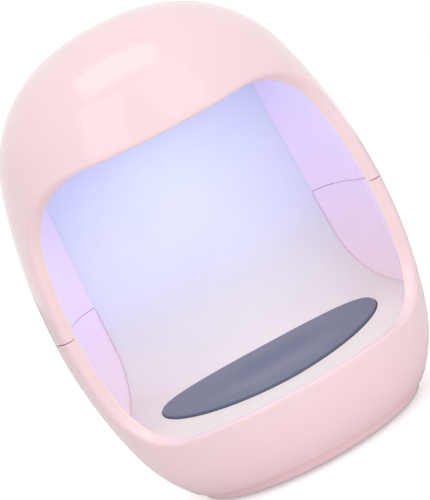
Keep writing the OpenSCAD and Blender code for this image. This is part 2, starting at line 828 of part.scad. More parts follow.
// Internal lead along its route, on the left or right of the pair
module lead(side) {
  route = [for (p = lead_route) [p[0]*connector[0] + side*lead_pitch/2, p[1], p[2]]];
  last = lead_steps*(len(route) - 1);
  points = [for (i = [0:last]) curve_at(route, i/lead_steps)];
  rings = [for (i = [0:last])
             let (dir = points[min(i + 1, last)] - points[max(i - 1, 0)],
                  up = cross([1, 0, 0], dir)/norm(cross([1, 0, 0], dir)),
                  out = cross(dir, up)/norm(cross(dir, up)))
             for (k = [0:lead_sides - 1])
               points[i] + lead_d/2*(cos(360*k/lead_sides)*out + sin(360*k/lead_sides)*up)];
  sides = [for (i = [0:last - 1]) for (k = [0:lead_sides - 1])
             let (a = i*lead_sides + k,
                  b = i*lead_sides + (k + 1)%lead_sides)
             each [[a, b, b + lead_sides], [a, b + lead_sides, a + lead_sides]]];
  ends = [for (k = [1:lead_sides - 2]) each [[0, k + 1, k],
                                             [last*lead_sides, last*lead_sides + k, last*lead_sides + k + 1]]];
  polyhedron(rings, concat(sides, ends));
}

module lead_red() color("#c8393b") lead(1);

module lead_black() color("#2b2b2e") lead(-1);

module lamp_board() {
  color("#e9e9e6") translate([0, lamp_board_y, lamp_board_z]) difference() {
    rounded_plate(lamp_board_w, lamp_board_l, board_t, lamp_board_corner_r);
    translate([0, -lamp_board_y, -cut]) lamp_screw_places() cylinder(d = screw_clear_d, h = board_t + 2*cut);
  }
}

// Square packages with a shallow round recess that the lens closes
module diode_packages() {
  color("#f4f1e6") diode_places() translate([0, 0, lamp_board_z - package_t]) difference() {
    translate([-package_w/2, -package_w/2, 0]) cube([package_w, package_w, package_t]);
    translate([0, 0, -cut]) cylinder(d = lens_d - 2*lens_seat, h = cut + package_t/2);
  }
}

module diode_lenses() {
  color("#e8e6ff") diode_places() translate([0, 0, lamp_board_z - package_t]) intersection() {
    translate([0, 0, lens_r - lens_h]) sphere(lens_r);
    translate([0, 0, -2*lens_h]) cylinder(d = 2*lens_d, h = 2*lens_h);
  }
}

module lamp_board_screws() {
  color("#b9bcc2") lamp_screw_places() translate([0, 0, lamp_board_z]) mirror([0, 0, 1]) pan_screw();
}

upper_shell();
lower_shell();
base_plate();
base_screws();
grip_pad();
reflector();
press_pad();
switch_housing();
switch_cover();
switch_dome();
switch_plunger();
control_board();
board_screws();
timer_chip();
driver_transistor();
smoothing_capacitor();
resistors();
socket_shell();
socket_tongue();
socket_contacts();
lead_connector();
lead_red();
lead_black();
lamp_board();
diode_packages();
diode_lenses();
lamp_board_screws();
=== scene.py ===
# %% [markdown]
# # A lamp that cures nail varnish under one fingertip
# The real object is an egg of glossy pink ABS, moulded as two shells, with its
# front cut away. A white liner stands behind the opening, a grey pad lies in
# its floor, and three diodes shine down through the ceiling. This lesson loads
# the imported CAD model, replaces the pieces whose surfaces show by smooth ones,
# and gives every other CAD piece a material worked out in shader nodes.

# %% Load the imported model
import math
import bmesh
import bpy
import numpy as np
from mathutils import Matrix, Vector


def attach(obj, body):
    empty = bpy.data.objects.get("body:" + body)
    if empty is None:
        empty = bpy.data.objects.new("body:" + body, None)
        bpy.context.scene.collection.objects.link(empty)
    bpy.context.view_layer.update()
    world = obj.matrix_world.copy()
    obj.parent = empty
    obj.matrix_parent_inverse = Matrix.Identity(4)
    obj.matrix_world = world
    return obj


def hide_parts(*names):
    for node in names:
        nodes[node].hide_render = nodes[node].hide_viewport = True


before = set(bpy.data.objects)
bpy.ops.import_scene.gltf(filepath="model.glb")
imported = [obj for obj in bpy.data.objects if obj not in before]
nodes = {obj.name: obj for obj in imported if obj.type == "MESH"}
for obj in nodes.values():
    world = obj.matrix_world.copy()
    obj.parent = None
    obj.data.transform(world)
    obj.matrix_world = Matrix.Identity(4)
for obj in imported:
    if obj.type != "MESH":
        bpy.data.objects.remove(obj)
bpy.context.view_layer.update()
MM = 0.001

# %% [markdown]
# ## The egg's side view
# A moulded egg could be a scaled sphere with a lattice on it, but its real
# outline is a drawing of five arcs: foot, flank, side, shoulder and crown.
# Neighbouring arcs touch with one common heading, the direction that points
# straight out of the surface. So the heading alone says where a point is, and
# it also gives the surface normal for free.

# %% Arcs of the side view, all in millimetres
BODY_H, WIDE_Z, HALF_W = 64.0, 27.8, 25.0
CROWN_R, SHOULDER_R, SIDE_R, FLANK_R, FOOT_R = 36.3, 19.0, 74.7, 64.5, 20.5
FLANK_TURN = math.radians(-16)
WALL, SEAM_Z = 1.65, 28.5


def arc_between(c1, d1, c2, d2):
    """Centre at distance d1 from c1 and d2 from c2, on the right of the line
    from c1 to c2: the corner of the triangle with those three sides."""
    gap = np.hypot(*(c2 - c1))
    along = (gap**2 + d1**2 - d2**2)/(2*gap)
    unit = (c2 - c1)/gap
    return c1 + along*unit + math.sqrt(d1**2 - along**2)*np.array([unit[1], -unit[0]])


crown_c = np.array([0.0, BODY_H - CROWN_R])
side_c = np.array([HALF_W - SIDE_R, WIDE_Z])
flank_c = np.array([HALF_W - FLANK_R, WIDE_Z])
foot_c = flank_c + (FLANK_R - FOOT_R)*np.array([math.cos(FLANK_TURN), math.sin(FLANK_TURN)])
shoulder_c = arc_between(crown_c, CROWN_R - SHOULDER_R, side_c, SIDE_R - SHOULDER_R)
ARC_CENTRES = np.array([foot_c, flank_c, side_c, shoulder_c, crown_c])
ARC_RADII = np.array([FOOT_R, FLANK_R, SIDE_R, SHOULDER_R, CROWN_R])
ARC_STARTS = np.array([-math.pi/2, FLANK_TURN, 0.0,
                       math.atan2(*(shoulder_c - side_c)[::-1]),
                       math.atan2(*(shoulder_c - crown_c)[::-1])])
print("shoulder arc:", shoulder_c.round(3), "starts at", np.degrees(ARC_STARTS[3:]).round(2))


def side_point(heading, inset):
    """Radius and height at a heading: the arc's centre plus its radius, less
    the inset, times the cosine and sine of the heading."""
    k = np.clip(np.searchsorted(ARC_STARTS, heading, side="right") - 1, 0, 4)
    reach = ARC_RADII[k] - inset
    return ARC_CENTRES[k, 0] + reach*np.cos(heading), ARC_CENTRES[k, 1] + reach*np.sin(heading)


def heading_at(z, inset):
    """Heading at a height: the arc is found from the heights where the arcs
    meet, then the arcsine of the height over its centre, over its radius."""
    joins = ARC_CENTRES[1:, 1] + (ARC_RADII[1:] - inset)*np.sin(ARC_STARTS[1:])
    k = np.searchsorted(joins, z, side="right")
    rise = (z - ARC_CENTRES[k, 1])/(ARC_RADII[k] - inset)
    return np.arcsin(np.clip(rise, -1, 1))


def egg_radius(z, inset):
    """Distance of the surface from the upright axis at a height."""
    return side_point(heading_at(z, inset), inset)[0]


def egg_surface(turn, heading, inset):
    """Point of the egg: its side view at a heading, swung by a turn about the
    upright axis from the back (+Y) towards +X."""
    r, z = side_point(heading, inset)
    return np.stack(np.broadcast_arrays(r*np.sin(turn), r*np.cos(turn), z), -1)


# %% [markdown]
# ## From grids to a closed piece
# Each surface is a grid of points, and a piece is several grids that share
# their borders. They could be stitched by index, but it is simpler to lay them
# edge on edge and merge the doubled points. After that the normals are turned
# outwards, and edges sharper than 35 degrees stay crisp.

# %% Grids, merging and normals
CRISP, MERGE = math.radians(35), 0.002


def grid_quads(rows, cols, closed, keep=None):
    """Four corners of each cell: a point, the next in its row, and the two
    behind them in the next row. A closed grid joins its last column to the first."""
    i, j = np.meshgrid(np.arange(rows - 1), np.arange(cols if closed else cols - 1), indexing="ij")
    k = (j + 1) % cols
    quads = np.stack([i*cols + j, i*cols + k, (i + 1)*cols + k, (i + 1)*cols + j], -1)
    return quads[keep] if keep is not None else quads.reshape(-1, 4)


def mark_crisp(bm):
    """Leaves an edge crisp where its two faces turn by more than the crisp angle."""
    for edge in bm.edges:
        edge.smooth = not (len(edge.link_faces) == 2 and edge.calc_face_angle(0) > CRISP)


def put(name, data):
    """A new object in the scene."""
    thing = bpy.data.objects.new(name, data)
    bpy.context.scene.collection.objects.link(thing)
    return thing


def make_piece(name, grids, polygons=(), body="lamp", solid=True):
    """Joins grids of points in millimetres, each given as (points, closed) or
    (points, closed, cells to keep), and loose polygons into one mesh in
    metres. A solid one that came out inside out is turned."""
    points, faces, start = [], [], 0
    for grid, *how in grids:
        rows, cols = grid.shape[:2]
        points.append(grid.reshape(-1, 3))
        faces += (grid_quads(rows, cols, *how) + start).tolist()
        start += rows*cols
    for polygon in polygons:
        points.append(polygon)
        faces.append(list(range(start, start + len(polygon))))
        start += len(polygon)
    mesh = bpy.data.meshes.new(name)
    mesh.from_pydata((np.concatenate(points)*MM).tolist(), [], faces)
    bm = bmesh.new()
    bm.from_mesh(mesh)
    bmesh.ops.remove_doubles(bm, verts=bm.verts, dist=MERGE*MM)
    bmesh.ops.recalc_face_normals(bm, faces=bm.faces)
    if solid and bm.calc_volume(signed=True) < 0:
        bmesh.ops.reverse_faces(bm, faces=bm.faces)
    mark_crisp(bm)
    for face in bm.faces:
        face.smooth = True
    open_edges = sum(len(edge.link_faces) != 2 for edge in bm.edges)
    bm.to_mesh(mesh)
    bm.free()
    piece = put(name, mesh)
    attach(piece, body)
    print(name, "faces", len(mesh.polygons), "open edges", open_edges)
    return piece


# %% [markdown]
# ## The edge round the opening
# The moulder's tool cuts the egg with a straight extrusion seen from the side:
# a visor line, a corner, a side rim, a second corner and a lip. Each
# shell owns its part of that cut. Seen from the side its rows are known, and
# over the front the edge is found by letting a height settle until it lies both
# on the egg and on the cut.

# %% The cut, seen from the side
RIM_Y, VISOR_Z, LIP_Z, VISOR_CORNER_R, LIP_CORNER_R = -9.1, 45.7, 11.4, 8.6, 7.7
VISOR_TURN, LEAN = math.radians(11), math.radians(2.5)
VISOR_TAN = math.tan(VISOR_TURN)
SETTLE_STEPS = 20


def corner_under_visor():
    """Centre of the upper corner: at the corner's radius in front of the rim,
    which leans forward above the seam, and under the visor line. The way s up
    the rim follows from setting both distances equal to the radius."""
    r, c, k = VISOR_CORNER_R, math.cos(LEAN), math.sin(LEAN)
    rest = VISOR_Z + (HALF_W + RIM_Y - r*c)*VISOR_TAN - SEAM_Z + r*k - r/math.cos(VISOR_TURN)
    s = rest/(c + VISOR_TAN*k)
    return np.array([RIM_Y - s*k - r*c, SEAM_Z + s*c - r*k])


VISOR_CORNER = corner_under_visor()
LIP_CORNER = np.array([RIM_Y - LIP_CORNER_R, LIP_Z + LIP_CORNER_R])
VISOR_TOUCH_Y = VISOR_CORNER[0] - VISOR_CORNER_R*math.sin(VISOR_TURN)


def visor_cut(y):
    """Height of the upper cut at depth y: the corner's arc, then the straight visor line."""
    arc = VISOR_CORNER[1] + np.sqrt(np.maximum(VISOR_CORNER_R**2 - (y - VISOR_CORNER[0])**2, 0))
    return np.where(y > VISOR_TOUCH_Y, arc, VISOR_Z + (y + HALF_W)*VISOR_TAN)


def lip_cut(y):
    """Height of the lower cut, the same at every depth."""
    return np.full_like(y, LIP_Z)


def rim_rows(seam_rows, corner, corner_r, sign, lean, straight, bend):
    """Depth and height of the rows from the seam to the corner's far end: a
    line that leans forward, then the corner's circle in even steps."""
    upright = np.linspace(seam_rows[-1], corner[1] + sign*corner_r*math.sin(lean), straight + 1)[1:]
    line = np.concatenate([seam_rows, upright])
    angle = np.linspace(lean, math.pi/2, bend + 1)[1:]
    y = np.concatenate([RIM_Y - (line - SEAM_Z)*math.tan(lean), corner[0] + corner_r*np.cos(angle)])
    return y, np.concatenate([line, corner[1] + sign*corner_r*np.sin(angle)])


def edge_curve(rows, cut, front_cols, inset):
    """Turn and height of the sharp edge, from the right seam over the front to
    the left seam. Over the front the height settles in a few repeats of
    height = cut(depth), depth = radius(height) times the cosine of the turn."""
    y, z = rows
    turn = np.arccos(y/egg_radius(z, inset))
    share = np.arange(1, front_cols + 1)/front_cols
    front = turn[-1] + (math.pi - turn[-1])*share
    height = np.full(front_cols, z[-1])
    for _ in range(SETTLE_STEPS):
        height = cut(egg_radius(height, inset)*np.cos(front))
    turn = np.concatenate([turn, front, 2*math.pi - front[-2::-1], 2*math.pi - turn[::-1]])
    return turn, np.concatenate([z, height, height[-2::-1], z[::-1]])


def eased_edge(turn, z, inset, sign, ease):
    """The same edge moved back along the surface by a small ease, square to
    the edge: the cross product of the edge's direction and the normal says
    which way that is. Returns its turn and height, the sharp points and the
    direction of the edge at each."""
    heading = heading_at(z, inset)
    sharp = egg_surface(turn, heading, inset)
    normal = np.stack([np.cos(heading)*np.sin(turn), np.cos(heading)*np.cos(turn), np.sin(heading)], -1)
    tangent = np.gradient(sharp, axis=0)
    inward = sign*np.cross(tangent, normal)
    inward /= np.linalg.norm(inward, axis=1)[:, None]
    moved = sharp + ease*inward
    return np.arctan2(moved[:, 0], moved[:, 1]) % (2*math.pi), moved[:, 2], sharp, tangent


# %% [markdown]
# ## Both shells
# A shell is an outer and an inner skin, a rounded rim that joins them round the
# opening, and a stepped joint where the shells meet: the lower one carries a
# tongue that fits a rebate in the upper one. A Bevel modifier could round the
# rim, but it would pinch at the thin tongue, so the rim is a strip of its own:
# across it, two quadratic curves turn the corners between skin and cut face.
# The tongue sinks from the back towards the opening, so that the seam shows
# there as one plain line, as it does in the photograph.

# %% The rounded rim and the skins
BACK_COLS, FRONT_COLS, ROUND_STEPS, BEND_POWER = 44, 20, 5, 12
OUTER_EASE, INNER_EASE = 0.62, 0.38
SEAM_GAP, TONGUE_TOP, REBATE_TOP = 0.05, 29.55, 29.63
TONGUE_INSET, REBATE_INSET = 1.05, 0.97
TONGUE_DROP, TONGUE_FADE = 0.99, (1.5, 13.0)


def tongue_share(y):
    """How much of the tongue's drop is made up at depth y: none in front,
    all of it at the back, and a smoothstep between."""
    t = np.clip((y - TONGUE_FADE[0])/(TONGUE_FADE[1] - TONGUE_FADE[0]), 0, 1)
    return t*t*(3 - 2*t)


def corner_curve(start, corner, end, steps=ROUND_STEPS):
    """Points of a quadratic curve that leaves start towards the corner and
    arrives at end from it."""
    s = np.linspace(0, 1, steps + 1).reshape(-1, *[1]*start.ndim)
    return (1 - s)**2*start + 2*s*(1 - s)*corner + s**2*end


def rim_strip(outer, inner, step_inset):
    """Rows across the rim, from the outer skin to the inner one. Two rows lie
    on each other at the joint's inset, so that the seam can step there."""
    across = inner["sharp"] - outer["sharp"]
    width = np.linalg.norm(across, axis=1)[:, None]
    across = across/width
    slant = np.linalg.norm(np.cross(across, outer["tangent"]), axis=1)[:, None]
    slant /= np.linalg.norm(outer["tangent"], axis=1)[:, None]
    step = outer["sharp"] + across*width*step_inset/WALL
    first = corner_curve(outer["eased"], outer["sharp"], outer["sharp"] + across*OUTER_EASE/slant)
    last = corner_curve(inner["sharp"] - across*INNER_EASE/slant, inner["sharp"], inner["eased"])
    return np.concatenate([first, [step, step], last]), len(first) + 1


def skin(rows, cut, inset, sign, ease, first_row):
    """One skin of a shell: a strip of rows from edge to edge round the back,
    whose ends bend to meet the eased edge, and the ring of columns that goes
    on from it, given by turn and heading. The inner strip starts at the
    tongue, so its first row rises towards the back."""
    turn, z = edge_curve(rows, cut, FRONT_COLS, inset)
    e_turn, e_z, sharp, tangent = eased_edge(turn, z, inset, sign, ease)
    side_rows = len(rows[1])
    f = np.linspace(-1, 1, 2*BACK_COLS + 1)
    bend = np.abs(f)**BEND_POWER
    end_turn, end_z = e_turn[first_row:side_rows, None], e_z[first_row:side_rows, None]
    row_z = z[first_row:side_rows, None]
    strip_turn = f*end_turn
    strip_z = row_z + (end_z - row_z)*bend
    if inset == WALL:
        strip_z[0] += TONGUE_DROP*tongue_share(egg_radius(strip_z[0], inset)*np.cos(strip_turn[0]))
    strip_heading = heading_at(strip_z, inset)
    front = slice(side_rows, len(turn) - side_rows)
    ring_turn = np.concatenate([strip_turn[-1], e_turn[front]])
    ring_heading = np.concatenate([strip_heading[-1], heading_at(e_z[front], inset)])
    eased = egg_surface(e_turn, heading_at(e_z, inset), inset)
    return {"strip": egg_surface(strip_turn, strip_heading, inset), "sharp": sharp, "tangent": tangent,
            "eased": eased, "ring_turn": ring_turn, "ring_heading": ring_heading}


def ring_rows(part, end_heading, inset, count):
    """Rows from the ring's own headings to one heading, even in length of
    outline: each arc adds its radius times the heading that it turns through."""
    headings = np.append(ARC_STARTS, math.pi/2)
    lengths = np.append(0, np.cumsum((ARC_RADII - inset)*np.diff(headings)))
    start = np.interp(part["ring_heading"], headings, lengths)
    end = np.interp(end_heading, headings, lengths)
    share = np.linspace(0, 1, count)[:, None]
    return np.interp(start + (end - start)*share, lengths, headings)


def seam_closure(outer_row, inner_row, rim, step_row, step_inset):
    """Faces that close a shell at its seam: a ledge under the outer skin, a
    small riser at the step and a ledge up to the inner skin, with the ends
    filled out to the rounded rim."""
    share = step_inset/WALL
    middle = outer_row + (inner_row - outer_row)*share
    low, high = middle.copy(), middle.copy()
    low[:, 2], high[:, 2] = outer_row[:, 2], inner_row[:, 2]
    grid = np.stack([outer_row, low, high, inner_row])
    ends = []
    for column, end in ((-1, 0), (0, -1)):
        edge = rim[:, end]
        ends += [np.concatenate([edge[:step_row], [low[column]]]),
                 np.array([edge[step_row - 1], edge[step_row], high[column], low[column]]),
                 np.concatenate([edge[step_row:], [high[column]]])]
    return grid, ends


def shell_parts(rows, cut, sign, step_inset, outer_first):
    """Skins, rim and seam of one shell. One skin starts at the seam's first
    row and the other at its second, and the rim's ends do so too."""
    outer = skin(rows, cut, 0.0, sign, OUTER_EASE, outer_first)
    inner = skin(rows, cut, WALL, sign, INNER_EASE, 1 - outer_first)
    rim, step_row = rim_strip(outer, inner, step_inset)
    late = slice(0, step_row) if outer_first else slice(step_row, None)
    for end, beside in ((0, 1), (-1, -2)):
        rim[late, end] = rim[late, beside]
    ledge, ends = seam_closure(outer["strip"][0], inner["strip"][0], rim, step_row, step_inset)
    grids = [(grid, False) for grid in (outer["strip"], inner["strip"], rim, ledge)]
    return outer, inner, grids, ends


# %% [markdown]
# ## What stands inside the shells
# Real mouldings carry round posts for the screws, tubes that guide the pad's
# stems, rests under the liner and two tabs whose catches snap into the other
# shell. They could be joined to the wall by Boolean modifiers, but those would
# spoil its even grid. So each is a closed body of its own that is sunk a
# little into the wall.

# %% Posts, guides, rests and hooks
FOOT_UNDER, FOOT_TOP, BOARD_Z, BOARD_TOP, LAMP_BOARD_TOP = 2.0, 3.65, 5.9, 7.1, 54.4
POST_D, REST_D, POST_SIDES, PILOT_D, PILOT_LOW, SCREW_L = 4.4, 3.0, 32, 1.6, 3.0, 4.0
BOARD_POST_TURNS, BOARD_POST_INSET = (35.3, 144.7, -44, -136), 4.2
BASE_POST_TURNS, BASE_POST_R, BASE_POST_GAP = (30, 150, 270), 9.0, 0.4
SWITCH_Y, STEM_X, GUIDE_D, GUIDE_RISE = -4.0, 10.0, 2.52, 2.0
FLOOR_Z, FLOOR_TURN, LINER_T, TIGHT_GAP = 13.2, math.radians(7), 1.2, 0.03
REST_TURNS, REST_INSETS = (25.3, -47), (2.3, 0.63)
LAMP_POST_X, LAMP_POST_Y, LAMP_POST_TOP = 9.3, 1.8, 61.7
HOOK_TURNS, HOOK_W, HOOK_T, HOOK_RISE, HOOK_ROOT, HOOK_GAP = (52, 128), 4.0, 1.1, 4.0, 6.0, 0.15
HOOK_STEP, HOOK_LEAD, HOOK_CATCH, HOOK_CATCH_H = 0.5, 1.0, 0.6, 1.2


def lathe(profile, columns):
    """A profile of radius and height turned about the upright axis."""
    turn = np.linspace(0, 2*math.pi, columns + 1)[:-1]
    r, z = np.array(profile, float).T
    x, y = r[:, None]*np.cos(turn), r[:, None]*np.sin(turn)
    return np.stack(np.broadcast_arrays(x, y, z[:, None]), -1)


def floor_plane(y):
    """Height of the liner's sloping floor at depth y."""
    return FLOOR_Z + y*math.tan(FLOOR_TURN)


def ray(degrees, reach):
    """Point at a distance from the axis, in a direction seen from above."""
    return reach*np.array([math.cos(math.radians(degrees)), math.sin(math.radians(degrees))])


def wall_height(r):
    """Height of the middle of the wall at a radius, from the floor up to the
    widest place: read off the side view, but not under the flat floor."""
    samples = 400
    side_r, side_z = side_point(np.linspace(-math.pi/2, 0, samples), WALL/2)
    return np.maximum(np.interp(r, side_r, side_z), FOOT_TOP - WALL/2)


def post(place, d, low, high, bore=0.0, bore_low=0.0, bore_high=0.0):
    """A round post: plain, or with a bore that is open at its top or at its
    foot. A foot in the lower shell follows the wall where that is higher."""
    if bore == 0:
        profile = [(0, low), (d/2, low), (d/2, high), (0, high)]
    elif bore_high >= high:
        profile = [(0, low), (d/2, low), (d/2, high),
                   (bore/2, high), (bore/2, bore_low), (0, bore_low)]
    else:
        profile = [(0, bore_high), (bore/2, bore_high), (bore/2, low),
                   (d/2, low), (d/2, high), (0, high)]
    grid = lathe(profile, POST_SIDES) + np.array([*place, 0])
    if high < SEAM_Z:
        foot = grid[:2]
        foot[..., 2] = np.maximum(foot[..., 2], wall_height(np.hypot(foot[..., 0], foot[..., 1])))
    return grid


def hook(degrees):
    """A tab inside the seam: its side view, with the catch near the top, at
    both of its ends, and a face along each of its edges."""
    foot, top, catch = SEAM_Z - HOOK_ROOT, SEAM_Z + HOOK_RISE, TONGUE_TOP + HOOK_LEAD
    r = egg_radius(np.array([top]), WALL)[0] - HOOK_GAP
    view = np.array([[r - HOOK_T, foot], [r, foot - HOOK_T], [r + WALL/2, foot - HOOK_T],
                     [r + WALL/2, SEAM_Z - 2*HOOK_STEP], [r, SEAM_Z - HOOK_STEP],
                     [r, catch], [r + HOOK_CATCH, catch], [r + HOOK_CATCH, catch + HOOK_CATCH_H/2],
                     [r, catch + HOOK_CATCH_H], [r, top], [r - HOOK_T, top]])
    out, side = np.append(ray(degrees, 1), 0), np.append(ray(degrees + 90, HOOK_W/2), 0)
    flat = view[:, :1]*out + view[:, 1:]*np.array([0, 0, 1])
    ends = np.stack([flat - side, flat + side])
    following = np.roll(ends, -1, axis=1)
    return [*ends, *np.stack([ends[0], following[0], following[1], ends[1]], 1)]


def lower_posts():
    """Every post of the lower shell: for the board, for the pad's guide stems,
    over the plinth's screws, and under the liner's floor."""
    root, guide_top = FOOT_TOP - WALL/2, BOARD_TOP + GUIDE_RISE
    board_r = egg_radius(np.array([BOARD_Z]), WALL)[0] - BOARD_POST_INSET
    rest_r = egg_radius(np.array([FLOOR_Z - 2*LINER_T]), WALL)[0]
    posts = [post(ray(turn, board_r), POST_D, root, BOARD_Z, PILOT_D, PILOT_LOW, BOARD_Z)
             for turn in BOARD_POST_TURNS]
    posts += [post((x, SWITCH_Y), POST_D, root, guide_top, GUIDE_D, FOOT_TOP, guide_top)
              for x in (-STEM_X, STEM_X)]
    posts += [post(ray(turn, BASE_POST_R), POST_D, root, BOARD_Z - BASE_POST_GAP)
              for turn in BASE_POST_TURNS]
    for turn, inset in zip(REST_TURNS, REST_INSETS):
        x, y = ray(turn, rest_r - inset)
        top = floor_plane(y - REST_D/2) - LINER_T/math.cos(FLOOR_TURN) - TIGHT_GAP
        posts += [post((side*x, y), REST_D, root, top) for side in (-1, 1)]
    return posts


# %% [markdown]
# ## The upper shell
# The upper half of the moulding carries the visor and the crown. A sculpted
# ball would show its lattice in the long highlight. Here the rows come from
# the outline's own arcs, so the highlight runs on without a ripple.

# %% Upper shell
CROWN_ROWS = 30


def build_upper_shell():
    """Skins, rim, seam and crown, merged along their common borders."""
    seam_rows = np.array([SEAM_Z + SEAM_GAP, REBATE_TOP - TONGUE_DROP])
    rows = rim_rows(seam_rows, VISOR_CORNER, VISOR_CORNER_R, 1, LEAN, straight=10, bend=16)
    outer, inner, grids, ends = shell_parts(rows, visor_cut, 1, REBATE_INSET, outer_first=0)
    for part, inset in ((outer, 0.0), (inner, WALL)):
        heading = ring_rows(part, math.pi/2, inset, CROWN_ROWS)
        grids.append((egg_surface(part["ring_turn"], heading, inset), True))
    for x in (-LAMP_POST_X, LAMP_POST_X):
        boss = post((x, LAMP_POST_Y), POST_D, LAMP_BOARD_TOP, LAMP_POST_TOP,
                    PILOT_D, LAMP_BOARD_TOP, LAMP_BOARD_TOP + SCREW_L)
        grids.append((boss, True))
    piece = make_piece("upper_shell_skin", grids, ends)
    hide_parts("upper_shell")
    return piece


upper = build_upper_shell()

# %% [markdown]
# ## The lower shell
# It has one more feature: the flat oval mouth for the supply socket in its
# back. A Boolean would leave long thin faces that show in the gloss. Instead
# the cells round the mouth are left out of the skin, and a fan of small rings
# leads from that window's border to the oval.

# %% Lower shell
MOUTH_Z, MOUTH_W, MOUTH_H = 8.7, 9.5, 3.8
FOOT_ROWS, WINDOW_ROWS, WINDOW_COLS, FAN_ROWS, DISC_ROWS = 14, 8, 6, 6, 8


def oval_towards(x, z):
    """Point of the flat oval in the direction (x, z) from its centre: the
    straight sides where the ray meets them, else the end circle."""
    core, r = (MOUTH_W - MOUTH_H)/2, MOUTH_H/2
    size = np.hypot(x, z)
    c, s = x/size, z/size
    flat = r/np.maximum(np.abs(s), 1e-9)
    round_end = core*np.abs(c) + np.sqrt(np.maximum(r*r - (core*s)**2, 0))
    reach = np.where(flat*np.abs(c) <= core, flat, round_end)
    return reach*c, reach*s


def socket_window(turn, heading, inset, rows, cols):
    """Rings from the oval to the window's border in the skin: blended as seen
    from the back, then laid on the egg."""
    border = ([(0, j) for j in range(cols[0], cols[1])]
              + [(i, cols[1]) for i in range(rows)]
              + [(rows, j) for j in range(cols[1], cols[0], -1)]
              + [(i, cols[0]) for i in range(rows, 0, -1)])
    i, j = np.array(border).T
    r, z = side_point(heading[i, j], inset)
    x = r*np.sin(turn[j])
    ox, oz = oval_towards(x, z - MOUTH_Z)
    t = np.linspace(0, 1, FAN_ROWS)[:, None]
    px, pz = ox + (x - ox)*t, MOUTH_Z + oz + (z - MOUTH_Z - oz)*t
    radius = egg_radius(pz, inset)
    return np.stack([px, np.sqrt(radius**2 - px**2), pz], -1)


def build_lower_shell():
    """Skins, rim, seam, window and flat foot, with what stands inside."""
    seam_rows = np.array([TONGUE_TOP - TONGUE_DROP, SEAM_Z - SEAM_GAP])
    rows = rim_rows(seam_rows, LIP_CORNER, LIP_CORNER_R, -1, 0.0, straight=9, bend=14)
    outer, inner, grids, ends = shell_parts(rows, lip_cut, -1, TONGUE_INSET, outer_first=1)
    ovals = []
    for part, inset, end_z in ((outer, 0.0, FOOT_UNDER), (inner, WALL, FOOT_TOP)):
        heading = ring_rows(part, heading_at(np.array([end_z]), inset)[0], inset, FOOT_ROWS)
        surface = egg_surface(part["ring_turn"], heading, inset)
        window_cols = (BACK_COLS - WINDOW_COLS, BACK_COLS + WINDOW_COLS)
        keep = np.ones((surface.shape[0] - 1, surface.shape[1]), bool)
        keep[:WINDOW_ROWS, window_cols[0]:window_cols[1]] = False
        fan = socket_window(part["ring_turn"], heading, inset, WINDOW_ROWS, window_cols)
        share = np.linspace(1, 0, DISC_ROWS)[:, None, None]
        disc = surface[-1]*np.array([1, 1, 0])*share + np.array([0, 0, end_z])
        grids += [(surface, True, keep), (fan, True), (disc, True)]
        ovals.append(fan[0])
    grids.append((np.stack(ovals), True))
    grids += [(grid, True) for grid in lower_posts()]
    for degrees in HOOK_TURNS:
        ends += hook(degrees)
    piece = make_piece("lower_shell_skin", grids, ends)
    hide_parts("lower_shell")
    return piece


lower = build_lower_shell()

# %% [markdown]
# ## The liner
# A thin white sheet stands behind the opening: a floor that rises gently to the
# back, a wide curve, the back wall and a ceiling. It could be a box with
# bevels. Here it is one path seen from the side and carried across, as wide at
# each point as the egg's inside allows. Solidify gives it its thickness, and
# three round windows are cut out of the ceiling for the diodes.

# %% The liner's side view
LINER_GAP = 0.2
FLOOR_CORNER, FLOOR_CORNER_R = np.array([3.26, 24.18]), 10.5
BACK_C, BACK_R = np.array([-34.8, 30.0]), 49.0
CEILING_CORNER, CEILING_CORNER_R, CEILING_Z = np.array([7.86, 47.2]), 3.0, 50.2
JOIN_Y = 7.6


def liner_half_width(y, z):
    """Half the sheet's width: the egg's inside at that height, seen from above.
    Above the seam the sheet fits tightly, and below it a thin gap shows."""
    gap = np.where(z > SEAM_Z + 1, TIGHT_GAP, LINER_GAP)
    return np.sqrt(np.maximum((egg_radius(z, WALL) - gap)**2 - y**2, 0))


def floor_height(y):
    """Height of the floor at depth y: a sloping line, then the corner's arc."""
    arc = FLOOR_CORNER[1] - np.sqrt(np.maximum(FLOOR_CORNER_R**2 - (y - FLOOR_CORNER[0])**2, 0))
    start = FLOOR_CORNER[0] + FLOOR_CORNER_R*math.sin(FLOOR_TURN)
    return np.where(y > start, arc, floor_plane(y))


def arc_path(centre, r, a0, a1, steps):
    """Points on a circle from one angle to another."""
    a = np.linspace(a0, a1, steps)
    return np.stack([centre[0] + r*np.cos(a), centre[1] + r*np.sin(a)], -1)


def wall_path():
    """Depth and height from the join in the floor's corner, up the back wall
    and forward along the ceiling to its tip, where the spacing narrows as a
    cosine so that the sheet's round outline stays smooth."""
    low = math.atan2(*(FLOOR_CORNER - BACK_C)[::-1])
    high = math.atan2(*(CEILING_CORNER - BACK_C)[::-1])
    join = -math.acos((JOIN_Y - FLOOR_CORNER[0])/FLOOR_CORNER_R)
    tip = -(egg_radius(np.array([CEILING_Z]), WALL)[0] - TIGHT_GAP)
    s = np.sin(np.linspace(0, math.pi/2, 26))
    ceiling = np.stack([CEILING_CORNER[0] + (tip - CEILING_CORNER[0])*s, np.full_like(s, CEILING_Z)], -1)
    return np.concatenate([arc_path(FLOOR_CORNER, FLOOR_CORNER_R, join, low, steps=14)[:-1],
                           arc_path(BACK_C, BACK_R, low, high, steps=30)[:-1],
                           arc_path(CEILING_CORNER, CEILING_CORNER_R, high, math.pi/2, steps=8)[:-1],
                           ceiling])


# %% The pad's outline
PAD_W, PAD_FRONT, PAD_REAR, PAD_MID, PAD_GAP = 33.0, 13.1, 5.9, 0.8, 0.2
FRONT_POWER, REAR_POWER = 1.85, 3.0


